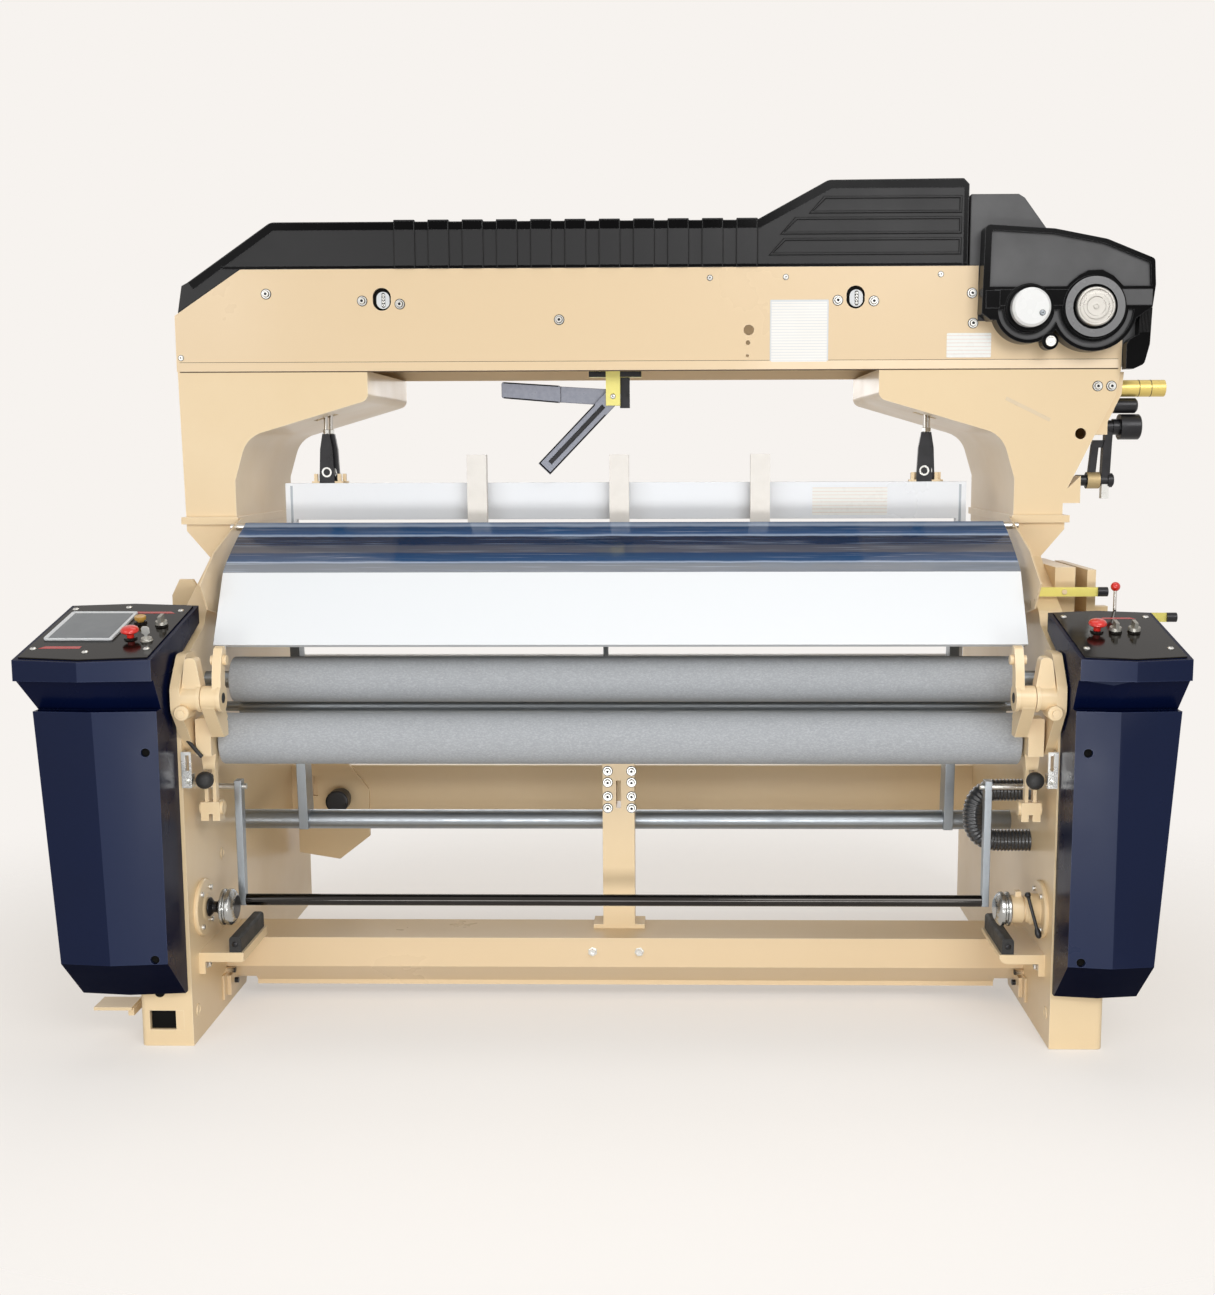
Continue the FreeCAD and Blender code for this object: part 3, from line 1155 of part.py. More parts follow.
def controls(lids):
    """Panels with the screen, emergency stops, start button and selectors."""
    screen = flat_on_panel("left", -INNER - 209, 45, 78, 90, 6)
    wells = []
    collars = []
    bore = S.button_stem + S.running_gap
    for name, (x, station) in (("left", STOP_LEFT), ("left", START), ("left", DIAL_LEFT),
                               ("right", STOP_RIGHT), ("right", DIAL_RIGHT[0]),
                               ("right", DIAL_RIGHT[1])):
        wells.append(turned_on_panel(name, x, station, [
            (-30, 0), (-30, bore), (20, bore), (20, 0)]))
        collars.append(turned_on_panel(name, x, station, [
            (-1, 6), (-1, 15), (0, 15), (4, 14), (4, 6)]))
    left_lid = joined(lids["left"], *collars[:3])
    right_lid = joined(lids["right"], *collars[3:])
    node("panels", together(carved(left_lid, *wells[:3]), carved(right_lid, *wells[3:])))
    node("touch_screen", screen)
    node("console_left", carved(NODES["console_left"], *wells[:3]))
    node("console_right", carved(NODES["console_right"], *wells[3:]))
    stop = [(-20, 0), (-20, S.button_stem), (14, S.button_stem), (14, 16), (18, 20), (25, 20),
            (30, 14), (30, 0)]
    node("emergency_stop_left", turned_on_panel("left", *STOP_LEFT, stop))
    node("emergency_stop_right", turned_on_panel("right", *STOP_RIGHT, stop))
    node("start_button", turned_on_panel("left", *START, [
        (-18, 0), (-18, S.button_stem), (8, S.button_stem), (8, 13), (15, 13), (17, 11),
        (17, 0)]))
    knob = [(-18, 0), (-18, S.button_stem), (4.5, S.button_stem), (4.5, 14), (12, 13),
            (12, 0)]
    for label, name, (x, station) in (("selector_left", "left", DIAL_LEFT),
                                      ("selector_right_1", "right", DIAL_RIGHT[0]),
                                      ("selector_right_2", "right", DIAL_RIGHT[1])):
        round_part = turned_on_panel(name, x, station, knob)
        bar = flat_on_panel(name, x, station, 4, 13, 14, 11)
        node(label, joined(round_part, bar))


# ---------------------------------------------------------------- levers, drive and hose

def folding_stay():
    """Stay under the beam: a yellow block with a handle bar, and an arm that folds up to it."""
    front = at(498)
    back = front + 34
    pin_x, pin_z = S.stay_place, S.stay_height
    half = S.stay_half
    cap = block(pin_x - 17, pin_x + 19, front, back, pin_z - 23, S.beam_bottom)
    wing = block(pin_x + 18, pin_x + 43, front + 19, back, pin_z - 29, S.beam_bottom)
    foot = block(pin_x - 60, pin_x + 73, front, back, pin_z + 48, S.beam_bottom)
    fork = block(pin_x - 18, pin_x + 20, front + 5, front + 17, pin_z - 24,
                 pin_z + half + 3.5)
    pin = rod_between("Y", front + 2, back - 4, pin_x, pin_z, 5)
    handle_outline = [(pin_x - 284, pin_z + 38), (pin_x - 284, pin_z - 3),
                      (pin_x - 133, pin_z - 16), (pin_x - 133, pin_z + 28)]
    handle = along_y(handle_outline, front + 18, front + 33)
    rounded(handle, "XZ_Plane", 6, handle_outline)
    link = along_y([(pin_x - 134, pin_z + 26), (pin_x - 134, pin_z - 14),
                    (pin_x - 16, pin_z - 22), (pin_x - 16, pin_z + 19)], front + 20, front + 30)
    node("stay_bracket", joined(carved(joined(cap, wing, foot), fork), pin, link, handle))
    slope = math.radians(46)
    run_x, run_z = -math.cos(slope), -math.sin(slope)
    tip_x, tip_z = pin_x + S.stay_length * run_x, pin_z + S.stay_length * run_z
    outline = arm_outline(pin_x, pin_z, tip_x, tip_z, half, half)
    arm = along_y(outline, front + 5.5, front + 16.5)
    groove = along_y(arm_outline(pin_x + 34 * run_x, pin_z + 34 * run_z,
                                 tip_x - 22 * run_x, tip_z - 22 * run_z, 5, 5),
                     front + 4, front + 11)
    eye = rod_between("Y", front + 5.5, front + 16.5, pin_x, pin_z, half + 0.5)
    hole = rod_between("Y", front + 5, front + 17, pin_x, pin_z, 5 + S.running_gap)
    node("stay_arm", carved(joined(arm, eye), hole, groove))


def drive_links():
    """Bearing with a brass tube on the right gooseneck, and the links that hang from it."""
    y = at(S.axle_station)
    axle_z, low_z = S.link_axle_height, S.link_axle_height - 134
    radius = S.axle_radius
    base = along_y([(INNER + 181.7, 1420), (INNER + 229.1, 1518), (INNER + 239.5, 1575),
                    (INNER + 251, 1575), (INNER + 247, 1520), (INNER + 215, 1452),
                    (INNER + 215, 1420)], y - 40, y + 40)
    tube = rod_between("X", INNER + 241, INNER + 364, y, 1536, 21)
    drum = turned("X", 0, y, 1493, [(INNER + 236, 0), (INNER + 236, 19), (INNER + 292, 19),
                                    (INNER + 297, 14), (INNER + 297, 0)])
    axle = rod_between("X", INNER + 213, INNER + 309, y, axle_z, radius)
    node("drive_bearing", joined(base, tube, drum, axle))
    sleeve = turned("X", 0, y, axle_z, [(INNER + 254, 0), (INNER + 254, 32), (INNER + 302, 32),
                                        (INNER + 305, 29), (INNER + 305, 0)])
    neck = rod_between("X", INNER + 237, INNER + 257, y, axle_z, 20)
    hanger = along_y([(INNER + 218, axle_z), (INNER + 218, axle_z - 32),
                      (INNER + 214, axle_z - 48), (INNER + 212, low_z), (INNER + 233, low_z),
                      (INNER + 236, axle_z - 40), (INNER + 238, axle_z)], y - 11, y + 11)
    upper_eye = rod_between("X", INNER + 218, INNER + 240, y, axle_z, 17)
    brace = along_y([(INNER + 222, axle_z - 33), (INNER + 190, axle_z - 33),
                     (INNER + 186, axle_z - 46), (INNER + 178, low_z), (INNER + 197, low_z),
                     (INNER + 204, axle_z - 52), (INNER + 222, axle_z - 52)], y - 6, y + 6)
    end_disc = rod_between("X", INNER + 229, INNER + 241, y, low_z, 18)
    bar = rod_between("X", INNER + 150, INNER + 244, y, low_z, 14)
    collar = rod_between("X", INNER + 176, INNER + 208, y, low_z, 21)
    clevis = block(INNER + 214, INNER + 232, y - 10, y + 10, low_z - 46, low_z)
    bore = rod_between("X", INNER + 200, INNER + 309, y, axle_z, radius + S.running_gap)
    node("drive_links", carved(joined(sleeve, neck, hanger, upper_eye, brace, bar, collar,
                                      end_disc, clevis), bore))


def drive_case():
    """Case on the right side frame, with a second plate outside it and two lever studs."""
    low = INNER + S.web_width
    front, back = at(300), at(620)
    case = block(low, low + 49, front, back, S.box_height, 1100)
    plate = block(low + 78, low + 99, front, back, S.box_height + 40, 1094)
    spacer = block(low + 49, low + 78, back - 20, back, S.box_height + 40, 1090)
    lug = block(low + 78, low + 130, front, front + 30, 960, 1005)
    studs = [rod_between("Y", at(252), front, low + 12, S.lever_upper_height, 6),
             rod_between("Y", at(252), front, low + 112, S.lever_lower_height, 6)]
    node("drive_case", joined(case, plate, spacer, lug, *studs))


def release_levers():
    """Two yellow hand levers with black ends beside the drive case."""
    low = INNER + S.web_width
    for label, pivot, height, left, right in (
            ("release_lever_upper", low + 12, S.lever_upper_height, low - 54, low + 116),
            ("release_lever_lower", low + 112, S.lever_lower_height, low + 96, low + 283)):
        bar = along_y([(left, height - 11), (right - 22, height - 11), (right - 22, height + 11),
                       (left, height + 11)], at(256), at(264))
        cap = rod_between("X", right - 24, right, at(260), height, 11.5)
        hole = rod_between("Y", at(255), at(265), pivot, height, 6 + S.running_gap)
        node(label, carved(joined(bar, cap), hole))


def ball_lever():
    """Upright lever with a red ball behind the right console."""
    y = at(S.right_head_back + 24)
    rodlet = rod_between("Z", 966, 1058, BALL_LEVER, y, 4)
    pin = rod_between("X", BALL_LEVER - 14.5, BALL_LEVER + 14.5, y, 970, 4)
    node("ball_lever", joined(rodlet, pin, ball(BALL_LEVER, y, 1064, 11)))


def pedal():
    """Foot pedal on the outside of the left foot."""
    wall = -(INNER + S.frame_width)
    y, z = at(S.pedal_station), S.pedal_height
    tread = block(wall - 118, wall - 28, at(20), at(90), 78, 86)
    arm = along_x([(at(30), 62), (at(90), 62), (y, z - 16), (y, z + 16), (at(90), 80),
                   (at(30), 80)], wall - 40, wall - 26)
    eye = rod_between("X", wall - 44, wall - 22, y, z, 18)
    hole = rod_between("X", wall - 45, wall - 21, y, z, 8 + S.running_gap)
    node("pedal", carved(joined(tread, arm, eye), hole))


def suction_hose():
    """Ribbed hose bent like a U, with both ends on the right side frame."""
    ribs = 24
    bend = 63.0
    outer_radius, root_radius, bore_radius = 27.0, 24.0, 22.0
    wall_x = INNER.value
    centre = FreeCAD.Vector(wall_x - 66.0, at(250).value, 496.5)
    straight = 66.0
    total = 2 * straight + math.pi * bend

    def place(distance):
        """Point and direction of the hose's middle line after a distance."""
        if distance < straight:
            return (centre + FreeCAD.Vector(straight - distance, 0, bend),
                    FreeCAD.Vector(-1, 0, 0))
        if distance > straight + math.pi * bend:
            rest = distance - straight - math.pi * bend
            return centre + FreeCAD.Vector(rest, 0, -bend), FreeCAD.Vector(1, 0, 0)
        turn = (distance - straight) / bend
        return (centre + FreeCAD.Vector(-bend * math.sin(turn), 0, bend * math.cos(turn)),
                FreeCAD.Vector(-math.cos(turn), 0, -math.sin(turn)))

    def ring(distance, radius):
        """A circle across the hose whose own X axis stays along world Y."""
        point, direction = place(distance)
        circle = Part.Circle(point, direction, radius)
        circle.XAxis = FreeCAD.Vector(0, 1, 0)
        return Part.Wire([circle.toShape()])

    pitch = total / ribs
    outer = []
    for rib in range(ribs):
        start = rib * pitch
        outer += [ring(start, root_radius), ring(start + 0.2 * pitch, outer_radius),
                  ring(start + 0.7 * pitch, outer_radius), ring(start + 0.9 * pitch, root_radius)]
    outer.append(ring(total, root_radius))
    bore = [ring(total * step / 14, bore_radius) for step in range(15)]
    hose = doc.addObject("Part::Feature", "Hose")
    hose.Shape = Part.makeLoft(outer, True, True).cut(Part.makeLoft(bore, True, True))
    node("suction_hose", hose)


# ---------------------------------------------------------------- the whole loom

side_frame(-1, "side_frame_left")
side_frame(1, "side_frame_right")
cross_beams()
middle_support()
gooseneck(-1, "gooseneck_left")
gooseneck(1, "gooseneck_right")
overhead_beam()
top_cover()
dobby()
for frame_number in (0, 1):
    heald_frame(frame_number)
    lift_rods(frame_number)
    jack_lever("left", S.jack_left, -1, frame_number)
    jack_lever("right", S.jack_right, 1, frame_number)
    pull_rod(frame_number)
guide_rail()
sley()
plain_roller("take_up_roller", S.take_up_station, S.take_up_height, S.take_up_radius,
             S.journal_radius)
plain_roller("guide_roller", S.guide_station, S.guide_height, S.guide_radius, S.small_journal)
plain_roller("back_rest_roller", S.rest_station, S.rest_height, S.rest_radius,
             S.journal_radius)
press_roller()
roller_brackets()
press_arms()
cloth_guide()
chucks()
bumpers()
hood()
controls({name: console(name) for name in CONSOLES})
folding_stay()
drive_links()
drive_case()
release_levers()
ball_lever()
pedal()
suction_hose()
flange_bolts_and_studs()

doc.recompute()

# ---------------------------------------------------------------- checks and export

broken = [thing.Name for thing in doc.Objects
          if "Invalid" in thing.State or "Error" in thing.State]
if broken:
    raise RuntimeError("objects that failed: %s" % broken)
for label, piece in NODES.items():
    if piece.Shape.isNull() or not piece.Shape.isValid() or not piece.Shape.Solids:
        raise RuntimeError("no valid solid: %s" % label)

os.makedirs("parts", exist_ok=True)
for label, piece in NODES.items():
    piece.Shape.exportStep("parts/%s.step" % label)
print("wrote %d parts" % len(NODES))
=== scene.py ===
import json
import logging
import math
from contextlib import contextmanager
from dataclasses import dataclass, field, replace
from enum import Enum
from typing import Callable, Iterator, Sequence

import bmesh
import bpy
from mathutils import Matrix, Vector

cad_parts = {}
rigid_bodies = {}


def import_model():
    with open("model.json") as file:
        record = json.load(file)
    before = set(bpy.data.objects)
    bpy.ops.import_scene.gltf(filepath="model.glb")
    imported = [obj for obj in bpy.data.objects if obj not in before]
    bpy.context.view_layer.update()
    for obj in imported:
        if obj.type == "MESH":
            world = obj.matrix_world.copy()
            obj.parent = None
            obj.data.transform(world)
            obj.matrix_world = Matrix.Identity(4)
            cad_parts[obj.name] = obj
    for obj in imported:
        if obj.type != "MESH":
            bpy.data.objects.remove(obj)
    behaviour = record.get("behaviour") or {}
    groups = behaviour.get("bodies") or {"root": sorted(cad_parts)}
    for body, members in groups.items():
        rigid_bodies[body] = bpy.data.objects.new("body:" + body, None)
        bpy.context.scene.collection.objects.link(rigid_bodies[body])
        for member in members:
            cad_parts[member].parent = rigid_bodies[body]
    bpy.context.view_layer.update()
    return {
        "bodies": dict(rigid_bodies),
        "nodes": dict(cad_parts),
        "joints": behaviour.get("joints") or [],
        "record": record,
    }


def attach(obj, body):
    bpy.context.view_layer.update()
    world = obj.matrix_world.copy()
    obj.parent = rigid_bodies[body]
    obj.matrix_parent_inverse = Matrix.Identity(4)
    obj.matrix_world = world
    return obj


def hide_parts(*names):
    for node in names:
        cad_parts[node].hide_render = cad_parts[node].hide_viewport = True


log = logging.getLogger("loom")
MM = 0.001
FOOT_FRONT = -575.0     # world Y of the front of the feet, in mm
INNER = 999.0           # from the middle to the inner face of a side frame, in mm
OUTER = 1123.0          # and to its outer face
SHARP, SMOOTH = 35.0, 40.0      # edges over this many degrees are eased, and kept crisp
Pair, Point = tuple[float, float], tuple[float, float, float]
Piece, Tree, Socket = bpy.types.Object, bpy.types.NodeTree, bpy.types.NodeSocket
FRONTWARDS, BACKWARDS = (0.0, -1.0, 0.0), (0.0, 1.0, 0.0)
LEFTWARDS, RIGHTWARDS = (-1.0, 0.0, 0.0), (1.0, 0.0, 0.0)
UPWARDS = (0.0, 0.0, 1.0)
SIDES = (("left", -1), ("right", 1))
SCREW_TURN = 0.7                # radians between one screw of a row and the next
WAVE_UNIT = 0.05                # a wave texture runs one radian a unit at this scale
FRAME: dict = {}


# ------------------------------------------------------------------ colour and nodes

def linear(code: str) -> tuple[float, float, float, float]:
    """Turn an sRGB hex value into Blender's linear colour.

    Args:
        code: a value such as "#E6CFA3".

    Returns:
        Red, green, blue and alpha in linear light.
    """
    parts = [int(code[i:i + 2], 16) / 255 for i in (1, 3, 5)]
    flat = [p / 12.92 if p <= 0.04045 else ((p + 0.055) / 1.055) ** 2.4 for p in parts]
    return (flat[0], flat[1], flat[2], 1.0)


def add_node(tree: Tree, kind: str, settings: dict | None = None,
             links: dict | None = None) -> bpy.types.Node:
    """Add one node with its settings and incoming links.

    Args:
        tree: the node tree to add to.
        kind: the node's type name, without its first word ShaderNode.
        settings: attributes, or input sockets by name or number, with their values.
        links: input sockets by name or number, with the output sockets that feed them.

    Returns:
        The new node.
    """
    node = tree.nodes.new("ShaderNode" + kind)
    for name, value in (settings or {}).items():
        if isinstance(name, str) and hasattr(node, name):
            setattr(node, name, value)
        else:
            node.inputs[name].default_value = value
    for name, socket in (links or {}).items():
        tree.links.new(socket, node.inputs[name])
    return node


def empty_tree(owner: bpy.types.ID) -> Tree:
    """Switch on the nodes of a material or a world and clear them."""
    owner.use_nodes = True
    owner.node_tree.nodes.clear()
    return owner.node_tree


def seen_directly(tree: Tree) -> Socket:
    """1 for camera, glossy and transmission rays, which see the backdrop, else 0."""
    path = add_node(tree, "LightPath")
    seen = path.outputs["Is Camera Ray"]
    for ray in ("Is Glossy Ray", "Is Transmission Ray"):
        seen = add_node(tree, "Math", {"operation": "MAXIMUM"},
                        {0: seen, 1: path.outputs[ray]}).outputs[0]
    return seen


def per_mm(size_mm: float) -> float:
    """The scale of a pattern whose features are this many millimetres wide."""
    return 1.0 / (size_mm * MM)


def own_place(tree: Tree) -> Socket:
    """The place on a piece in its own coordinates, in metres."""
    return add_node(tree, "TexCoord").outputs["Object"]


def noise(tree: Tree, size_mm: float, detail: float, where: Socket,
          roughness: float = 0.5) -> Socket:
    """Noise whose coarsest features are this many millimetres wide."""
    settings = {"Scale": per_mm(size_mm), "Detail": detail, "Roughness": roughness}
    return add_node(tree, "TexNoise", settings, {"Vector": where}).outputs["Fac"]


def remap(tree: Tree, value: Socket, low: float, high: float, to_low: float = 0.0,
          to_high: float = 1.0) -> Socket:
    """Stretch the values from low to high to another range, and clamp the rest."""
    settings = {"From Min": low, "From Max": high, "To Min": to_low, "To Max": to_high}
    return add_node(tree, "MapRange", settings, {"Value": value}).outputs[0]


def blend(tree: Tree, share: Socket, under: Socket | str, over: Socket | str) -> Socket:
    """Mix two colours, each a hex value or an output, by the share of the second one."""
    settings, links = {"data_type": "RGBA"}, {0: share}
    for number, tone in ((6, under), (7, over)):
        if isinstance(tone, str):
            settings[number] = linear(tone)
        else:
            links[number] = tone
    return add_node(tree, "Mix", settings, links).outputs[2]


# ------------------------------------------------------------------ finishes

@dataclass(frozen=True)
class Finish:
    """A surface finish: what it is made of and how its surface was made."""

    name: str
    colour: str
    second: str
    metallic: float = 0.0
    roughness: float = 0.45
    roughness_swing: float = 0.08
    mottle_mm: float = 120.0
    grain_mm: float = 1.5
    grain_depth: float = 0.3
    bump: float = 0.05
    coat: float = 0.0
    ior: float = 1.5
    alpha: float = 1.0
    stretch: Point = (1.0, 1.0, 1.0)

    def material(self) -> bpy.types.Material:
        """The material of this finish, made the first time that a piece asks for it."""
        return bpy.data.materials.get(self.name) or self.build()

    def build(self) -> bpy.types.Material:
        """Make the material: mottled colour, uneven gloss and fine surface relief.

        Returns:
            The material, with all patterns in the piece's own millimetres.
        """
        material = bpy.data.materials.new(self.name)
        tree = empty_tree(material)
        place = own_place(tree)
        drawn = add_node(tree, "Mapping", {"Scale": self.stretch}, {"Vector": place}).outputs[0]
        mottle = noise(tree, self.mottle_mm, 5.0, place, roughness=0.6)
        colour = self.tint(tree, drawn, mottle)
        gloss = remap(tree, mottle, 0.3, 0.7, max(0.02, self.roughness - self.roughness_swing),
                      min(1.0, self.roughness + self.roughness_swing))
        relief = add_node(tree, "Bump",
                          {"Strength": self.bump,
                           "Distance": self.grain_mm * MM * self.grain_depth},
                          {"Height": self.height(tree, drawn)})
        settings = {"Metallic": self.metallic, "Coat Weight": self.coat,
                    "Coat Roughness": 0.08, "Alpha": self.alpha}
        if not self.metallic:
            settings["IOR"] = self.ior
        shader = add_node(tree, "BsdfPrincipled", settings,
                          {"Base Color": colour, "Roughness": gloss,
                           "Normal": relief.outputs[0]})
        add_node(tree, "OutputMaterial", None, {"Surface": shader.outputs[0]})
        return material

    def tint(self, tree: Tree, drawn: Socket, mottle: Socket) -> Socket:
        """Colour that drifts between the two tones of the finish."""
        return blend(tree, mottle, self.colour, self.second)

    def height(self, tree: Tree, drawn: Socket) -> Socket:
        """Fine grain of the surface."""
        return noise(tree, self.grain_mm, 2.0, drawn)


@dataclass(frozen=True)
class SprayedPaint(Finish):
    """Paint sprayed on metal: orange peel, and an edge colour along the edges: a thinner,
    lighter film on the enamels, a painted highlight on the polished black plastic, painted
    shade on the textured plastics and the zinc pressing.
    """

    edge: str = "#FFFFFF"
    edge_mm: float = 2.5
    edge_share: float = 0.5

    def tint(self, tree: Tree, drawn: Socket, mottle: Socket) -> Socket:
        """Mottled paint tinted along its edges by the edge colour, which is wear on some
        finishes and painted light or shade on others.
        """
        base = super().tint(tree, drawn, mottle)
        soft = add_node(tree, "Bevel", {"samples": 4, "Radius": self.edge_mm * MM})
        flat = add_node(tree, "NewGeometry")
        turn = add_node(tree, "VectorMath", {"operation": "DOT_PRODUCT"},
                        {0: soft.outputs[0], 1: flat.outputs["Normal"]})
        # Edge mask: wear on the enamels, painted highlight or painted shade on the finishes
        # whose edge colour stands for light.
        edge_wear_and_painted_light = remap(tree, turn.outputs["Value"], 0.995, 0.86, to_high=self.edge_share)
        patchy = add_node(tree, "Math", {"operation": "MULTIPLY"}, {0: edge_wear_and_painted_light, 1: mottle})
        return blend(tree, patchy.outputs[0], base, self.edge)


@dataclass(frozen=True)
class TurnedMetal(Finish):
    """Metal faced on a lathe: fine rings round an axis along Y or X through a centre."""

    centre: Point = (0.0, 0.0, 0.0)
    axis: str = "Y"
    ring_mm: float = 1.6    # the rings lie 2 pi times this apart

    def height(self, tree: Tree, drawn: Socket) -> Socket:
        """Tool rings of the lathe, drawn at the spacing of a coarse feed so that they show."""
        centred = add_node(tree, "Mapping", {"Location": tuple(-c * MM for c in self.centre)},
                           {"Vector": own_place(tree)})
        rings = add_node(tree, "TexWave",
                         {"wave_type": "RINGS", "rings_direction": self.axis,
                          "Scale": per_mm(self.ring_mm) * WAVE_UNIT},
                         {"Vector": centred.outputs[0]})
        return rings.outputs["Fac"]


@dataclass(frozen=True)
class GrittyCover(Finish):
    """Emery cloth or moulded rubber: grit that shows as pale and dark specks."""

    speck_mm: float = 2.2
    speck: str = "#C9CBCC"

    def tint(self, tree: Tree, drawn: Socket, mottle: Socket) -> Socket:
        """Grit of two sizes over a mottled ground."""
        base = super().tint(tree, drawn, mottle)
        grit = noise(tree, self.speck_mm, 4.0, drawn, roughness=0.75)
        return blend(tree, remap(tree, grit, 0.46, 0.72, to_high=0.65), base, self.speck)


@dataclass(frozen=True)
class BandedFilm(Finish):
    """Clear window sheet with its blue protective film: bands along X, by height."""

    bands: tuple[tuple[float, str], ...] = ()
    waviness: float = 0.03
    streak: str = "#C9D6E8"
    streak_mm: float = 3.2

    def tint(self, tree: Tree, drawn: Socket, mottle: Socket) -> Socket:
        """Tones of the film from its lower edge to its upper edge, with pale streaks of painted
        sheen.
        """
        place = own_place(tree)
        parts = add_node(tree, "SeparateXYZ", None, {0: place})
        low, high = self.bands[0][0], self.bands[-1][0]
        share = remap(tree, parts.outputs["Z"], low * MM, high * MM)
        wavy = add_node(tree, "Math", {"operation": "MULTIPLY_ADD", 1: self.waviness},
                        {0: mottle, 2: share})
        ramp = add_node(tree, "ValToRGB", None, {0: wavy.outputs[0]})
        stops = ramp.color_ramp.elements
        while len(stops) < len(self.bands):
            stops.new(0.5)
        for stop, (height, code) in zip(stops, self.bands):
            stop.position = (height - low) / (high - low)
            stop.color = linear(code)
        # Pale streaks along X: a painted sheen on the film.
        long = add_node(tree, "Mapping", {"Scale": (0.012, 1.0, 1.0)}, {"Vector": place})
        streaks = noise(tree, self.streak_mm, 2.0, long.outputs[0], roughness=0.6)
        shine = remap(tree, streaks, 0.60, 0.74, to_high=0.55)
        return blend(tree, shine, ramp.outputs[0], self.streak)


@dataclass(frozen=True)
class RuledPaper(Finish):
    """Office paper or label foil with pale ruled lines, as on a blank form."""

    line: str = "#C4C6C8"
    step_mm: float = 9.0
    line_share: float = 0.22
    base_z: float = 1590.0

    def tint(self, tree: Tree, drawn: Socket, mottle: Socket) -> Socket:
        """Thin lines across the sheet at the spacing of a form."""
        base = super().tint(tree, drawn, mottle)
        parts = add_node(tree, "SeparateXYZ", None, {0: own_place(tree)})
        rows = add_node(tree, "Math",
                        {"operation": "MULTIPLY_ADD", 1: per_mm(self.step_mm),
                         2: -self.base_z / self.step_mm}, {0: parts.outputs["Z"]})
        part = add_node(tree, "Math", {"operation": "FRACT"}, {0: rows.outputs[0]})
        thin = add_node(tree, "Math", {"operation": "LESS_THAN", 1: self.line_share},
                        {0: part.outputs[0]})
        return blend(tree, thin.outputs[0], base, self.line)


# Alkyd enamel sprayed on cast iron: warm cream, half gloss, a soft orange peel.
CREAM = SprayedPaint("cream_enamel_on_cast_iron", "#E8D0A8", "#E0C69C", roughness=0.36,
                     mottle_mm=260, grain_mm=5.0, grain_depth=0.10, bump=0.10, coat=0.15,
                     edge="#F6E9CF", edge_mm=3.0, edge_share=0.9)
# The same enamel on folded sheet, smoother and a little pinker under the lamps.
CREAM_SHEET = SprayedPaint("cream_enamel_on_sheet_steel", "#E4CBA6", "#DCC29A", roughness=0.33,
                           mottle_mm=420, grain_mm=3.5, grain_depth=0.06, bump=0.08, coat=0.2,
                           edge="#F8EDD8", edge_mm=2.2, edge_share=0.9)
# Moulded ABS, spark-eroded faces between polished edges: charcoal, with painted shade darkening
# every edge.
COVER_ABS = SprayedPaint("charcoal_moulded_abs", "#2C2C2D", "#1E1E1F", roughness=0.38,
                         mottle_mm=300, grain_mm=1.2, bump=0.06, ior=1.33, edge="#020202",
                         edge_mm=6.0, edge_share=2.0)
# The polished parts of the same mouldings: rims, bands and rounds, with a painted highlight
# along their edges.
RIM_ABS = SprayedPaint("polished_black_abs", "#030304", "#060607", roughness=0.18,
                       mottle_mm=260, grain_mm=3.0, grain_depth=0.05, ior=1.16, edge="#8C8C8D",
                       edge_mm=1.8, edge_share=0.8)
# The bright ring round the hand disc, of the same plastic.
COLLAR_ABS = SprayedPaint("glossy_grey_abs", "#7C7C7D", "#626263", roughness=0.26, mottle_mm=90,
                          grain_mm=2.0, edge="#C8C8C8", edge_mm=2.0, edge_share=0.9)
# The textured fields of the dobby case, dull, painted a paler grey as a painted sheen on their
# texture, with painted shade darkening their edges.
FIELD_ABS = SprayedPaint("textured_abs_with_painted_sheen", "#585859", "#3A3A3B", roughness=0.46,
                         mottle_mm=170, grain_mm=1.0, bump=0.10, ior=1.4, edge="#141414",
                         edge_mm=5.0, edge_share=1.4)
# Polyester powder coat on sheet steel: deep navy, half gloss.
NAVY = SprayedPaint("navy_powder_coat", "#071030", "#040A22", roughness=0.28, mottle_mm=240,
                    grain_mm=2.4, grain_depth=0.12, bump=0.10, ior=1.14, edge="#3C4468",
                    edge_mm=2.0, edge_share=0.6)
# The same coat painted a paler navy on the inner front facets, as painted light where they face
# the lamps.
NAVY_PAINTED_LIGHT = replace(NAVY, name="navy_powder_coat_painted_light", colour="#1F2945", second="#161F3A",
                    roughness=0.34, mottle_mm=300, ior=1.30, edge="#6A7494", edge_share=0.8)
# The low front faces of the cabinets: the coat painted darker as painted shade, and matt.
NAVY_PAINTED_SHADE = replace(NAVY, name="navy_powder_coat_painted_shade", colour="#050B24", second="#040818",
                    roughness=0.55, bump=0.08, ior=1.06, edge="#2A3052", edge_share=0.5)
# The outer front facets of the cabinets: the coat painted a little paler, as painted light
# between the two.
NAVY_PAINTED_HALF_LIGHT = replace(NAVY, name="navy_powder_coat_painted_half_light", colour="#111B38", second="#0B132B",
                   roughness=0.32, mottle_mm=300, ior=1.22, edge="#4A5478", edge_share=0.7)
# Printed polyester panel foil: brown-black, glossy.
PANEL_FOIL = Finish("black_panel_foil", "#0E0B09", "#15110D", roughness=0.12,
                    roughness_swing=0.04, mottle_mm=60, grain_mm=1.0, bump=0.02, ior=1.2)
RED_PRINT = Finish("red_print_on_foil", "#B5221F", "#A51B1A", roughness=0.25, mottle_mm=30,
                   grain_mm=1.0, bump=0.02)
# Moulded polycarbonate bezel, white with a blue-grey cast.
BEZEL = Finish("white_moulded_bezel", "#DADCDD", "#CDD0D2", roughness=0.35, mottle_mm=50,
               grain_mm=0.8, bump=0.04)
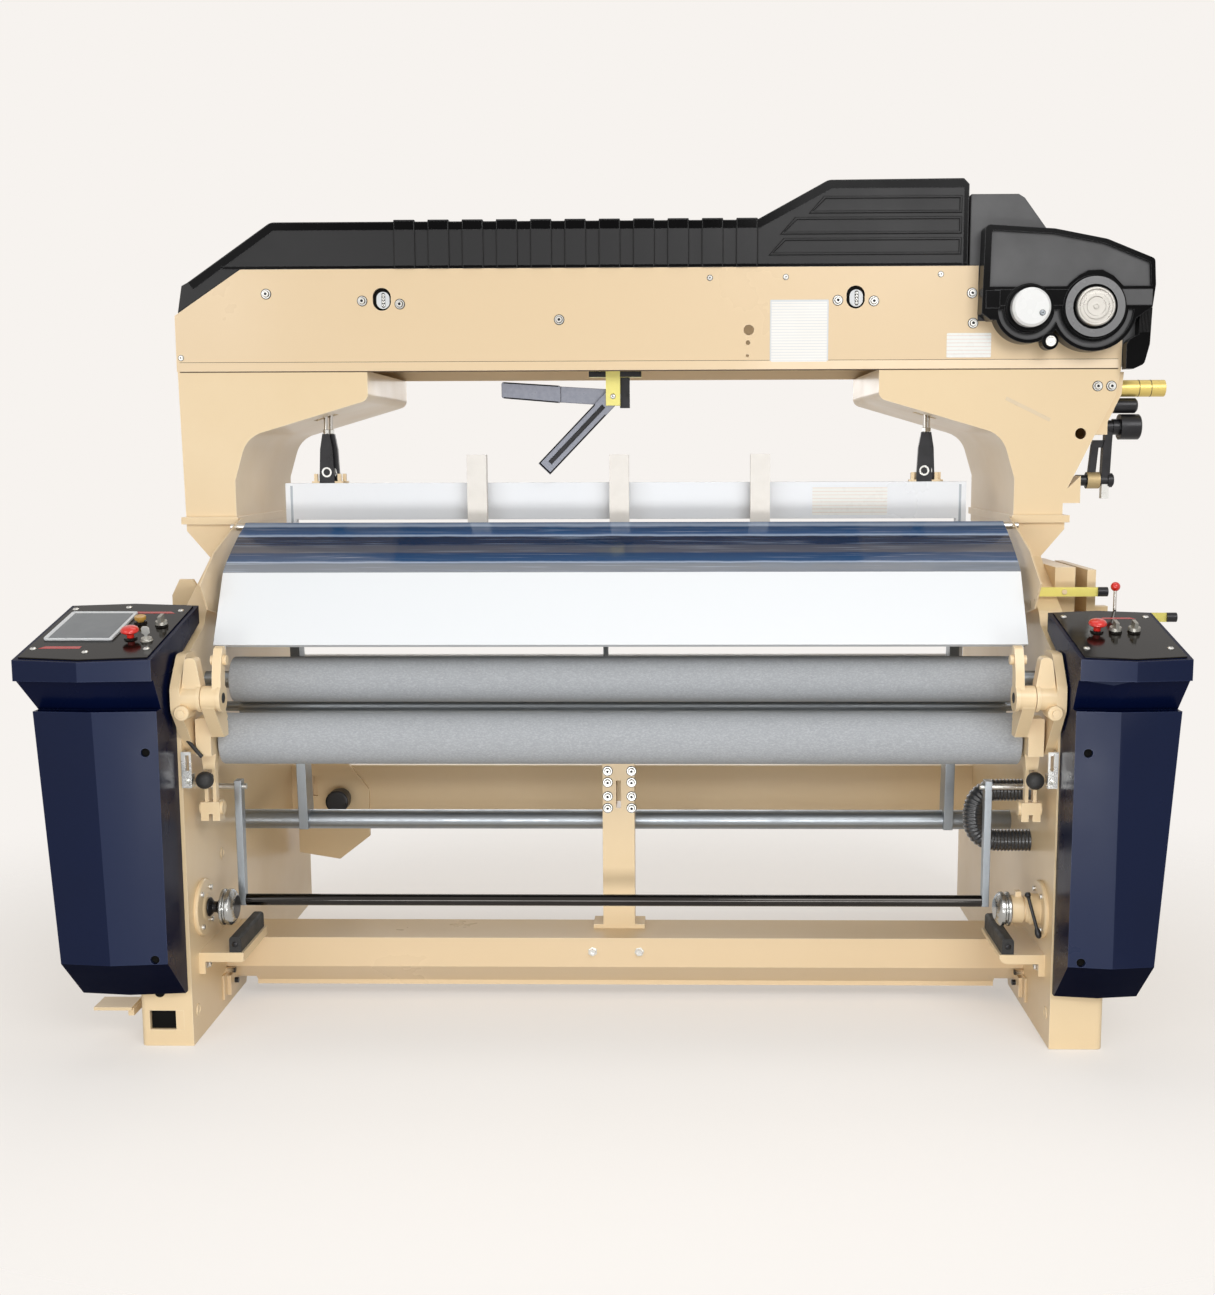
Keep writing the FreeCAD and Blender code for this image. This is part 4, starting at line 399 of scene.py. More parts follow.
# Unlit liquid-crystal screen under its glass: silver grey, mirror-like.
SCREEN = Finish("unlit_screen_glass", "#70767A", "#555B60", roughness=0.10,
                roughness_swing=0.04, mottle_mm=70, grain_mm=2.0, bump=0.0, ior=1.4)
RED_CAP = Finish("red_moulded_cap", "#D9281C", "#C71F17", roughness=0.28, mottle_mm=20,
                 grain_mm=0.8, bump=0.03, coat=0.3)
AMBER_CAP = Finish("amber_moulded_cap", "#C79B4A", "#B88C3E", roughness=0.32, mottle_mm=15,
                   grain_mm=0.8, bump=0.03, coat=0.2)
SILVER_KNOB = Finish("silver_grey_knob", "#A9A79F", "#8F8D86", metallic=0.6, roughness=0.34,
                     mottle_mm=12, grain_mm=0.6)
# Emery cloth wound on steel: mid grey grit that never shines.
EMERY = GrittyCover("grey_emery_cloth", "#94979A", "#A3A6A9", roughness=0.85, mottle_mm=26,
                    grain_mm=2.2, grain_depth=0.5, bump=0.45, speck="#BFC1C4", speck_mm=2.8,
                    stretch=(0.45, 1.0, 1.0))
RUBBER = GrittyCover("black_moulded_rubber", "#161616", "#1D1D1D", roughness=0.62, mottle_mm=30,
                     grain_mm=1.4, bump=0.2, speck="#3A3A3A")
# Sheet steel panel with white powder coat, nearly flat white.
WHITE_SHEET = SprayedPaint("white_powder_coat", "#E4E6E8", "#DFE2E4", roughness=0.34,
                           mottle_mm=500, grain_mm=3.0, grain_depth=0.05, bump=0.06,
                           edge="#F6F6F6", edge_mm=2.0)
WHITE_CAP = Finish("white_moulded_cap", "#E8E8E6", "#E0E0DE", roughness=0.28, mottle_mm=60,
                   grain_mm=1.0, bump=0.03, coat=0.3)
# Acrylic sheet that still wears its blue film.
WINDOW = BandedFilm("blue_filmed_acrylic", "#66809E", "#566F8E", roughness=0.10,
                    roughness_swing=0.06, mottle_mm=90, grain_mm=30, grain_depth=0.02,
                    bump=0.10, alpha=0.95, stretch=(0.25, 1.0, 1.0),
                    bands=((1096, "#8A8E96"), (1119, "#7F8894"), (1121, "#B4C4DC"),
                           (1124, "#33557E"), (1140, "#27456C"), (1143, "#5A5E6A"),
                           (1157, "#4C5262"), (1160, "#173152"), (1176, "#142A48"),
                           (1179, "#A9BCD6"), (1183, "#2E5686"), (1197, "#27496E"),
                           (1201, "#9FB0C8"), (1208, "#5E7490")))
# Extruded aluminium, clear anodised: satin silver-white with faint lines along X.
ANODISED = Finish("anodised_aluminium", "#E9EBEE", "#E0E3E7", metallic=0.08, roughness=0.32,
                  mottle_mm=400, grain_mm=2.0, bump=0.10, stretch=(0.02, 1.0, 1.0))
POST_STEEL = Finish("pale_galvanised_post", "#EBE6DF", "#DAD5CD", metallic=0.05, roughness=0.42,
                    mottle_mm=35, grain_mm=2.0, bump=0.12, stretch=(1.0, 1.0, 0.1))
# Chromed tube: mirror with faint polishing lines.
CHROME = Finish("hard_chrome", "#D4D1CC", "#C2BFBA", metallic=1.0, roughness=0.10,
                roughness_swing=0.05, mottle_mm=60, grain_mm=0.8, bump=0.02)
BRIGHT_ZINC = Finish("bright_zinc_plate", "#DDDDD9", "#CBCBC8", metallic=0.9, roughness=0.30,
                     mottle_mm=40, grain_mm=0.6, bump=0.04)
GREY_STEEL = Finish("ground_steel", "#A3A9AE", "#8A9096", metallic=0.9, roughness=0.36,
                    mottle_mm=60, grain_mm=0.8, bump=0.08, stretch=(1.0, 1.0, 0.08))
# Zinc-plated pressing, passivated dark: blue-grey with a dull shine, with painted shade
# darkening its edges.
STAY_ZINC = SprayedPaint("passivated_zinc_pressing", "#9A9DA8", "#6E717C", metallic=0.35,
                         roughness=0.34, mottle_mm=14, grain_mm=1.2, bump=0.12, edge="#08080A",
                         edge_mm=3.0, edge_share=2.6)
# Phosphated steel: near black with an oily sheen.
BLACK_STEEL = Finish("black_oxide_steel", "#151517", "#222226", metallic=0.35, roughness=0.34,
                     mottle_mm=30, grain_mm=1.0, bump=0.08)
BRASS = Finish("yellow_passivated_tube", "#E2CB7E", "#D6BC68", metallic=0.6, roughness=0.34,
               mottle_mm=160, grain_mm=0.8, bump=0.03, stretch=(0.1, 1.0, 1.0))
# Sintered bronze bush, dull tan.
BRONZE = Finish("sintered_bronze", "#B9A57C", "#A8936A", metallic=0.5, mottle_mm=20,
                grain_mm=0.8, bump=0.08)
YELLOW = SprayedPaint("yellow_enamel", "#EDE17C", "#E4D66A", roughness=0.35, mottle_mm=40,
                      grain_mm=2.0, bump=0.06, edge="#F8F2B4", edge_mm=1.0)
STAY_YELLOW = replace(YELLOW, name="mustard_enamel", colour="#F2E88C", second="#E8DC78",
                      roughness=0.38, mottle_mm=30, edge="#EFE08E")
DISC_FACE = TurnedMetal("faced_aluminium_disc", "#B9B6B0", "#A4A19B", metallic=0.8,
                        roughness=0.30, mottle_mm=120, grain_mm=1.6,
                        centre=(1153.0, 0.0, 1728.0), ring_mm=2.0)
CHUCK_STEEL = TurnedMetal("turned_steel_chuck", "#B9BAB8", "#A3A4A2", metallic=0.95,
                          roughness=0.24, mottle_mm=80, grain_mm=1.4, bump=0.08,
                          centre=(0.0, FOOT_FRONT + 101, 306.0), axis="X", ring_mm=1.5)
PAPER = RuledPaper("blank_ruled_form", "#F1EFEA", "#EBE8E1", roughness=0.55, mottle_mm=80,
                   coat=0.3, line="#D7D8D8", step_mm=7.0)
LABEL = RuledPaper("blank_foil_label", "#F0F0EC", "#E6E6E0", roughness=0.3, mottle_mm=25,
                   grain_mm=1.0, bump=0.03, line="#E3D5CB", base_z=1610.0)
# Blown PVC hose with a steel helix in it: smoke grey, glossy on its crests.
HOSE_PVC = Finish("smoke_grey_pvc", "#2B2D30", "#3A3C40", roughness=0.24, mottle_mm=40,
                  coat=0.4)
REED_STEEL = Finish("reed_wires", "#9AA0A4", "#7F868B", metallic=0.9, roughness=0.3,
                    mottle_mm=20, grain_mm=1.2, bump=0.5, stretch=(1.0, 1.0, 0.02))
# Chromed tube with the dark reflection of the space inside the machine painted into its colour.
CHROME_WITH_PAINTED_REFLECTION = Finish("chrome_with_painted_dark_reflection", "#454341", "#2C2A29", metallic=1.0, roughness=0.10,
                     roughness_swing=0.04, mottle_mm=180, grain_mm=0.8, bump=0.02,
                     stretch=(0.05, 1.0, 1.0))
# Painted shadow lines in brown, and painted shade in black for holes, slots, recesses and edges
# that lie in shade.
PAINTED_SHADOW_LINE = Finish("brown_painted_shadow_line", "#5B4730", "#4A3A28", roughness=0.6, mottle_mm=60,
              grain_mm=1.0, bump=0.1)
SHADE = Finish("black_painted_shade", "#050504", "#0B0A08", roughness=0.7, mottle_mm=30,
               grain_mm=1.0, bump=0.1, ior=1.2)
LINEN_TAPE = Finish("pale_adhesive_tape", "#E0CDB0", "#D8C2A0", roughness=0.3, mottle_mm=20,
                    grain_mm=1.0, coat=0.4)


# ------------------------------------------------------------------ bench work

def spot(x: float, station: float, z: float) -> Vector:
    """A place in metres from X, the distance behind the front of the feet, and Z, all in mm."""
    return Vector((x * MM, (FOOT_FRONT + station) * MM, z * MM))


def body_of(node: str) -> str:
    """The name of the body that carries a CAD node."""
    bodies = FRAME["record"]["behaviour"]["bodies"]
    return next(name for name, nodes in bodies.items() if node in nodes)


def into_scene(name: str, data: bpy.types.ID) -> Piece:
    """Put a mesh, a curve, a lamp or a camera into the scene as an object."""
    piece = bpy.data.objects.new(name, data)
    bpy.context.scene.collection.objects.link(piece)
    return piece


def take(piece: Piece) -> Piece:
    """Select one piece alone and make it the active one."""
    bpy.ops.object.select_all(action="DESELECT")
    piece.select_set(True)
    bpy.context.view_layer.objects.active = piece
    return piece


@contextmanager
def edit_mode(piece: Piece) -> Iterator[None]:
    """Work on one piece in edit mode, with nothing selected at first."""
    take(piece)
    bpy.ops.object.mode_set(mode="EDIT")
    bpy.ops.mesh.select_mode(type="FACE")
    bpy.ops.mesh.select_all(action="DESELECT")
    yield
    bpy.ops.object.mode_set(mode="OBJECT")


def choose(piece: Piece, wanted: Callable[[Vector, Vector], bool]) -> None:
    """Select the faces of the edited piece that pass a test of middle and normal.

    Args:
        piece: the piece in edit mode.
        wanted: takes a face's middle and normal in metres, and says whether to select it.
    """
    mesh = bmesh.from_edit_mesh(piece.data)
    for face in mesh.faces:
        face.select_set(wanted(face.calc_center_median(), face.normal))
    mesh.select_flush(True)
    bmesh.update_edit_mesh(piece.data)


def settle(piece: Piece, matrix: Matrix | None = None) -> Piece:
    """Move a piece to its place and put the place into its mesh."""
    if matrix is not None:
        piece.matrix_world = matrix
    take(piece)
    bpy.ops.object.transform_apply(location=True, rotation=True, scale=True)
    return piece


def facing(place: Vector, direction: Sequence[float], spin: float = 0.0) -> Matrix:
    """The matrix that stands a piece made along +Z on a place, pointing another way."""
    turn = Vector(direction).to_track_quat("Z", "Y").to_matrix().to_4x4()
    return Matrix.Translation(place) @ turn @ Matrix.Rotation(spin, 4, "Z")


def before(x: float, station: float, z: float, spin: float = 0.0) -> Matrix:
    """The matrix that stands a plate on a place in mm, with its face to the weaver."""
    return facing(spot(x, station, z), FRONTWARDS, spin)


def inwards(side: int) -> Point:
    """The direction from the left (-1) or right (1) wall to the middle of the loom."""
    return LEFTWARDS if side > 0 else RIGHTWARDS


def turned(name: str, place: Vector, direction: Sequence[float], steps: Sequence[Pair],
           sides: int = 48) -> Piece:
    """Lathe work: a disc is drawn out along its axis, with a new radius at each step.

    Args:
        name: the piece's name.
        place: where the first step's middle lies, in metres.
        direction: where the axis points.
        steps: (distance along the axis, radius) in mm.
        sides: how many sides the round has.

    Returns:
        The closed piece.
    """
    start, radius = steps[0]
    bpy.ops.object.select_all(action="DESELECT")
    bpy.ops.mesh.primitive_circle_add(vertices=sides, radius=radius * MM, fill_type="NGON",
                                      location=(0, 0, start * MM))
    piece = bpy.context.object
    piece.name = name
    settle(piece)
    with edit_mode(piece):
        bpy.ops.mesh.select_all(action="SELECT")
        for advance, new_radius in steps[1:]:
            bpy.ops.mesh.extrude_region_move(
                TRANSFORM_OT_translate={"value": (0, 0, (advance - start) * MM)})
            ratio = new_radius / radius
            if abs(ratio - 1) > 1e-6:
                bpy.ops.transform.resize(value=(ratio, ratio, 1),
                                         center_override=(0, 0, advance * MM))
            start, radius = advance, new_radius
        bpy.ops.mesh.select_all(action="SELECT")
        bpy.ops.mesh.normals_make_consistent(inside=False)
    return settle(piece, facing(place, direction))


def bar(name: str, low: Point, high: Point) -> Piece:
    """A square-edged bar between two corners, each an X, a station and a Z in mm."""
    near, far = spot(*low), spot(*high)
    bpy.ops.object.select_all(action="DESELECT")
    bpy.ops.mesh.primitive_cube_add(size=1.0, location=(near + far) / 2, scale=far - near)
    piece = bpy.context.object
    piece.name = name
    return settle(piece)


def cut_plate(name: str, corners: Sequence[Pair], thick: float, matrix: Matrix) -> Piece:
    """A plate cut to an outline, drawn flat in mm, given its thickness and put in place.

    Args:
        name: the piece's name.
        corners: the outline's corners in mm, anticlockwise.
        thick: the thickness in mm, along the plate's own +Z.
        matrix: where the plate goes.

    Returns:
        The closed plate.
    """
    bpy.ops.object.select_all(action="DESELECT")
    bpy.ops.mesh.primitive_circle_add(vertices=len(corners), radius=1.0, fill_type="NGON")
    piece = bpy.context.object
    piece.name = name
    with edit_mode(piece):
        mesh = bmesh.from_edit_mesh(piece.data)
        for vertex, (x, y) in zip(mesh.verts, corners):
            vertex.co = Vector((x * MM, y * MM, 0))
        mesh.select_mode = {"FACE"}
        bmesh.update_edit_mesh(piece.data)
        bpy.ops.mesh.select_all(action="SELECT")
        bpy.ops.mesh.extrude_region_move(TRANSFORM_OT_translate={"value": (0, 0, thick * MM)})
        bpy.ops.mesh.select_all(action="SELECT")
        bpy.ops.mesh.normals_make_consistent(inside=False)
    return settle(piece, matrix)


def oval(width: float, height: float, points: int = 32) -> list[Pair]:
    """Outline of an upright slot with round ends, in mm, round its own middle."""
    radius, run = width / 2, (height - width) / 2
    angles = [2 * math.pi * step / points for step in range(points)]
    return [(radius * math.cos(angle),
             radius * math.sin(angle) + math.copysign(run, radius * math.sin(angle)))
            for angle in angles]


def rounded_box(width: float, height: float, radius: float, steps: int = 4) -> list[Pair]:
    """Outline of a rectangle with round corners, in mm, round its own middle."""
    outline = []
    for corner, (x, y) in enumerate(((1, 1), (-1, 1), (-1, -1), (1, -1))):
        for step in range(steps + 1):
            angle = math.pi / 2 * (corner + step / steps)
            outline.append((x * (width / 2 - radius) + radius * math.cos(angle),
                            y * (height / 2 - radius) + radius * math.sin(angle)))
    return outline


def put_modifier(piece: Piece, kind: str, **settings: object) -> None:
    """Add a modifier with its settings and apply it at once."""
    take(piece)
    modifier = piece.modifiers.new(kind.title(), kind)
    for name, value in settings.items():
        setattr(modifier, name, value)
    bpy.ops.object.modifier_apply(modifier=modifier.name)


def ease_edges(piece: Piece, width_mm: float) -> None:
    """Round off the sharp edges, and keep the flats flat in the shading."""
    if width_mm > 0:
        put_modifier(piece, "BEVEL", width=width_mm * MM, segments=2, limit_method="ANGLE",
                     angle_limit=math.radians(SHARP), use_clamp_overlap=True)
    take(piece)
    bpy.ops.object.shade_smooth_by_angle(angle=math.radians(SMOOTH))
    put_modifier(piece, "WEIGHTED_NORMAL", weight=80, keep_sharp=True)


def fit(piece: Piece, finish: Finish, body: str = "frame", edge: float = 0.6,
        replaces: Sequence[str] = ()) -> Piece:
    """Ease a new piece's edges, give it its finish and fix it to the body that carries it.

    Args:
        piece: the piece, already in its place.
        finish: its finish.
        body: the body it rides on.
        edge: how wide its eased edges are, in mm; 0 leaves them.
        replaces: CAD nodes that it stands for.

    Returns:
        The piece.
    """
    ease_edges(piece, edge)
    piece.data.materials.clear()
    piece.data.materials.append(finish.material())
    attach(piece, body)
    if replaces:
        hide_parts(*replaces)
    log.info("%s rides on %s", piece.name, body)
    return piece


def merge(name: str, pieces: Sequence[Piece]) -> Piece:
    """Join loose pieces into one object."""
    bpy.ops.object.select_all(action="DESELECT")
    for piece in pieces:
        piece.select_set(True)
    bpy.context.view_layer.objects.active = pieces[0]
    if len(pieces) > 1:
        bpy.ops.object.join()
    pieces[0].name = name
    return pieces[0]


@dataclass(frozen=True)
class Zone:
    """A box, in mm of X, station and Z, whose faces have a finish of their own."""

    finish: Finish
    low: Point
    high: Point

    def holds(self, middle: Vector) -> bool:
        """Whether a face's middle lies in the box."""
        place = (middle.x / MM, middle.y / MM - FOOT_FRONT, middle.z / MM)
        return all(a <= v <= b for a, v, b in zip(self.low, place, self.high))

    def mirrored(self) -> "Zone":
        """The same box on the other side of the loom."""
        return Zone(self.finish, (-self.high[0], *self.low[1:]), (-self.low[0], *self.high[1:]))


def on_both_sides(*zones: Zone) -> list[Zone]:
    """Boxes given for the left side, each followed by its mirror image."""
    return [each for zone in zones for each in (zone, zone.mirrored())]


def dress(node: str, finish: Finish, edge: float, *zones: Zone) -> None:
    """Carry a CAD node over as a merged copy with eased edges and its real finishes.

    Args:
        node: the CAD node that the copy stands for.
        finish: its finish.
        edge: how wide its eased edges are, in mm.
        zones: boxes with a finish of their own; where two meet, the later one counts.
    """
    piece = into_scene(node + "_finished", FRAME["nodes"][node].data.copy())
    with edit_mode(piece):
        bpy.ops.mesh.select_all(action="SELECT")
        bpy.ops.mesh.remove_doubles(threshold=1e-5)
        bpy.ops.mesh.dissolve_limited(angle_limit=math.radians(0.5))
    ease_edges(piece, edge)
    piece.data.materials.clear()
    for each in (finish, *(zone.finish for zone in zones)):
        piece.data.materials.append(each.material())
    for face in piece.data.polygons:
        face.material_index = max((number for number, zone in enumerate(zones, start=1)
                                   if zone.holds(face.center)), default=0)
    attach(piece, body_of(node))
    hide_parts(node)
    log.info("%s stands for %s on %s", piece.name, node, body_of(node))


class Screw(Enum):
    """The fasteners that show on the machine, as lathe steps (distance, radius) in mm."""

    SOCKET = ((0, 13), (0.8, 13), (0.8, 11.4), (2.2, 11), (2.2, 8.8), (0.8, 8.6),
              (0.8, 7.4), (7, 7.4), (8, 6.6))
    SMALL = ((0, 7.4), (0.6, 7.4), (0.6, 6.2), (1.4, 6.0), (1.4, 4.4), (5, 4.4), (5.6, 3.8))
    HEX = ((0, 12), (2.2, 12), (2.2, 9.5), (9, 9.5), (10, 8.6))
    BUTTON = ((0, 7), (1.0, 7), (2.6, 5.6), (3.4, 3.6))
    PIN = ((0, 3.6), (1.0, 3.6), (1.6, 2.8))


def painted_shade_faces(mesh: bpy.types.Mesh, kind: Screw) -> list[bool]:
    """Which faces of one fastener are painted black as painted shade.

    Args:
        mesh: the fastener, standing on the origin and pointing up.
        kind: which fastener it is.

    Returns:
        For each face, whether it belongs to the seat, the groove or the socket.
    """
    top, rim = kind.value[-1]
    grooved = kind in (Screw.SOCKET, Screw.SMALL)
    return [(grooved and face.center.z < 0.85 * MM)
            or (kind is not Screw.HEX and face.center.z < (top - 0.1) * MM
                and face.center.to_2d().length < rim * 0.6 * MM) for face in mesh.polygons]


def drive_in(name: str, kind: Screw, places: Sequence[Vector],
             direction: Sequence[float] = FRONTWARDS, finish: Finish = BRIGHT_ZINC) -> None:
    """Fasteners of one kind that all point one way: one is modelled, the rest are copies.

    Args:
        name: the name of the row of fasteners.
        kind: which fastener.
        places: where their washers lie.
        direction: where their heads point.
        finish: their plating.
    """
    sides = 6 if kind is Screw.HEX else 20
    first = turned(name, Vector((0, 0, 0)), UPWARDS, kind.value, sides)
    top, rim = kind.value[-1]
    with edit_mode(first):
        choose(first, lambda middle, normal: normal.z > 0.9 and middle.z > (top - 0.1) * MM)
        bpy.ops.mesh.inset(thickness=rim * 0.45 * MM, depth=0)
        bpy.ops.mesh.extrude_region_move(
            TRANSFORM_OT_translate={"value": (0, 0, -0.4 * top * MM)})
    dark = painted_shade_faces(first.data, kind) * len(places)
    template = first.data.copy()
    heads = [first] + [into_scene(name, template.copy()) for _ in places[1:]]
    for number, (head, place) in enumerate(zip(heads, places)):
        head.data.transform(facing(place, direction, spin=SCREW_TURN * number))
    row = fit(merge(name, heads), finish, edge=0.0)
    # Seat ring, groove and socket take black steel: painted shade.
    row.data.materials.append(BLACK_STEEL.material())
    for face, is_dark in zip(row.data.polygons, dark):
        face.material_index = int(is_dark)


# ------------------------------------------------------------------ sub-assemblies

@dataclass
class LowerFrame:
    """Side frames, cross beams and the middle support, with their bolts."""

    edge: float = 3.0
    post_middle: float = -12.0
    beam_front: float = 270.0

    def build(self) -> None:
        """Finish the castings and drive in the bolts that show."""
        for node in ("side_frame_left", "side_frame_right"):
            dress(node, CREAM, self.edge)
        dress("front_cross_beam", CREAM_SHEET, 1.6, *on_both_sides(
            Zone(BLACK_STEEL, (-984.5, 250, 45), (-974, 300, 105))))
        dress("rear_cross_beam", CREAM, 2.0,
              Zone(BLACK_STEEL, (-886, 875, 340), (-816, 947.5, 412)))
        dress("middle_support", CREAM, 1.5)
        dress("guide_rail", POST_STEEL, 1.2)
        dress("drive_case", CREAM, 2.0,
              Zone(BLACK_STEEL, (1104, 300, 860), (1133, 600, 1100)))
        self.bolts()
        self.foot_window()
        self.wall_bosses()

    def bolts(self) -> None:
        """Bolts on the cross beam, on the post, under the beam and on the outer walls."""
        drive_in("cross_beam_bolts", Screw.HEX,
                 [spot(x, self.beam_front, 140) for x in (-76, 41)])
        drive_in("post_bolts", Screw.SOCKET,
                 [spot(self.post_middle + x, 345, z) for x in (-27, 33)
                  for z in (490, 520, 556, 585)])
        drive_in("flange_bolts_washers", Screw.HEX, [spot(1129, 520, 1303)])
        for name, side in SIDES:
            drive_in("frame_bolts_" + name, Screw.HEX,
                     [spot(side * OUTER, station, z) for station in (560, 1060)
                      for z in (150, 260, 640)], inwards(-side))

    @staticmethod
    def foot_window() -> None:
        """Cover strip in the left foot's window, a black plate of painted shade inside it, and
        a black disc of painted shade for the notch above it.
        """
        strip = bar("foot_window_strip", (-1040, 0.6, 39), (-1020.5, 5, 86.5))
        fit(strip, CREAM, edge=0.8)
        shade = bar("foot_window_painted_shade", (-1099, 9, 39.5), (-1020.5, 10, 86))
        fit(shade, SHADE, edge=0.0)
        notch = turned("foot_notch_painted_shade", spot(-1075, 0.2, 131), FRONTWARDS,
                       ((0, 12.5), (0.5, 12.5)), 32)
        fit(notch, SHADE, edge=0.0)

    @staticmethod
    def wall_bosses() -> None:
        """Round cast bosses with a dimple on the inner faces of the side frames."""
        bosses = [turned("boss", spot(side * INNER, station, z), inwards(side), (
            (-0.5, 15), (2.2, 14), (2.2, 9.5), (0.6, 8.5), (0.6, 3)), 36)
            for side, station, z in ((-1, 270, 392), (-1, 262, 80), (-1, 40, 74), (1, 40, 74))]
        fit(merge("wall_bosses", bosses), CREAM, edge=0.3)


@dataclass
class Overhead:
    """Goosenecks and the folded beam between them, with windows, screws and bare labels."""

    front: float = 450.0
    screws: tuple[Pair, ...] = (
        (-888, 1774), (-157, 1708), (866, 1768), (870, 1695), (-648, 1756), (-554, 1748),
        (535, 1752), (624, 1750))
    small_screws: tuple[Pair, ...] = ((218, 1808), (406, 1809), (788, 1814), (-1108, 1618))
    back: float = 1000.0
    back_screws: tuple[Pair, ...] = (
        (-1060, 1640), (-1060, 1780), (-700, 1800), (-300, 1800), (100, 1800), (500, 1800),
        (-700, 1620), (-300, 1620), (100, 1620), (500, 1620))
    windows: Pair = (-599.0, 579.0)
    window_height: float = 1760.0

    def build(self) -> None:
        """Finish the beam and goosenecks and put on everything that shows on them."""
        for node, finish, edge in (("gooseneck_left", CREAM, 2.4),
                                   ("gooseneck_right", CREAM, 2.4),
                                   ("overhead_beam", CREAM_SHEET, 2.4),
                                   ("fasteners", BRIGHT_ZINC, 0.6)):
            dress(node, finish, edge)
        for name, kind, station, places, direction in (
                ("beam_screws", Screw.SOCKET, self.front, self.screws, FRONTWARDS),
                ("beam_small_screws", Screw.SMALL, self.front, self.small_screws, FRONTWARDS),
                ("beam_back_screws", Screw.SOCKET, self.back, self.back_screws, BACKWARDS),
                ("gooseneck_screws", Screw.SOCKET, self.front, ((1183, 1540), (1217, 1540)),
                 FRONTWARDS)):
            drive_in(name, kind, [spot(x, station, z) for x, z in places], direction)
        self.gauges()
        self.weld()
        self.labels()

    def gauges(self) -> None:
        """Pale scale plates with pins behind the two oval windows, on black plates of painted
        shade, with a black slot of painted shade.
        """
        for number, x in enumerate(self.windows, start=1):
            # The back and the slot are black plates of painted shade.
            for name, width, height, thick, shift, depth, drop, finish, edge in (
                    ("back", 46, 56, 1.0, 0, 8.5, 0, SHADE, 0.0),
                    ("scale", 33, 42, 1.5, 2, 7.5, 2, BEZEL, 0.3),
                    ("slot", 9, 36, 0.6, 3, 6.0, 2, SHADE, 0.1)):
                plate = cut_plate("window_%s_%d" % (name, number), oval(width, height), thick,
                                  before(x + shift, self.front + depth,
                                         self.window_height - drop))
                fit(plate, finish, edge=edge)
            drive_in("window_pins_%d" % number, Screw.PIN,
                     [spot(x + 3, self.front + 5.4, self.window_height - 2 + z)
                      for z in (-12, -4, 4, 12)])

    def weld(self) -> None:
        """The lap of the beam's front plate over the goosenecks, as a low bead, with thin brown
        strips of painted shadow below and above it.
        """
        bead = bar("beam_lap", (-1116, self.front - 3.4, 1584), (1236, self.front + 1, 1606))
        with edit_mode(bead):
            choose(bead, lambda middle, normal: normal.z > 0.9)
            bpy.ops.transform.translate(value=(0, 0.0024, 0))
        fit(bead, CREAM_SHEET, edge=0.9)
        for name, proud, low, high in (("beam_lap_shadow_line", 0.5, 1581.4, 1584.2),
                                       ("beam_upper_shadow_line", 0.3, 1605.8, 1607.0)):
            fit(bar(name, (-1112, self.front - proud, low), (1232, self.front + 0.6, high)),
                PAINTED_SHADOW_LINE, edge=0.0)

    def labels(self) -> None:
        """A form in a clear sleeve, a foil label and a strip of tape, all bare of words."""
        for name, outline, thick, x, proud, z, lean, finish, edge in (
                ("instruction_form", (145, 164, 2), 0.8, 440, 0.2, 1672, 0, BEZEL, 0.2),
                ("instruction_sheet", (138, 156, 1), 0.5, 440, 0.9, 1671, 0, PAPER, 0.1),
                ("beam_label", (110, 60, 3), 0.5, 861, 0.2, 1641, 0, LABEL, 0.1),
                ("tape_strip", (124, 9, 1), 0.4, 1012, 0.2, 1484, -26, LINEN_TAPE, 0.1)):
            plate = cut_plate(name, rounded_box(*outline), thick,
                              before(x, self.front - proud, z, math.radians(lean)))
            fit(plate, finish, edge=edge)


@dataclass
class Cover:
    """Moulded cover on the beam, with the polished rim round its front face."""

    front: float = 450.0
    left: float = -1120.0
    right: float = 854.0
    foot: float = 1834.0
    top: float = 1948.0
    rise: float = 2042.0
    rim: float = 21.0
    rib_start: float = -565.0
    rib_pitch: float = 84.8
    rib_width: float = 52.0
    ribs: int = 11

    def build(self) -> None:
        """Finish the cover and lay its rim."""
        dress("top_cover", COVER_ABS, 3.0)
        pieces = [self.outline_rim()]
        for number in range(self.ribs):
            start = self.rib_start + number * self.rib_pitch
            for low, high in ((self.top - self.rim, self.top + 1), (self.foot, self.foot + 8)):
                pieces.append(bar("rib_rim", (start + 1.5, self.front - 4.7, low),
                                  (start + self.rib_width - 1.5, self.front - 3, high)))
        foot = bar("foot_rim", (self.left + 122, self.front - 0.8, self.foot),
                   (self.right - 2, self.front + 1, self.foot + 8))
        fit(merge("cover_rim", pieces + [foot]), RIM_ABS, edge=0.4)

    def outline_rim(self) -> Piece:
        """The rim along the left slope, the top, the step up and the right end."""
        left, right, top, rise, rim = self.left, self.right, self.top, self.rise, self.rim
        outer = [(left + 37, 1802), (left + 249, top - 1.8), (right - 520, top - 1.5),
                 (right - 345, rise - 1.5), (right - 14, rise), (right - 2, rise - 13),
                 (right - 2, self.foot)]
        inner = [(right - 13, self.foot), (right - 13, rise - rim), (right - 336, rise - rim),
                 (right - 514, top - rim), (left + 255, top - rim), (left + 50, 1786)]
        return cut_plate("outline_rim", (outer + inner)[::-1], 1.4,
                         before(0, self.front + 0.6, 0))


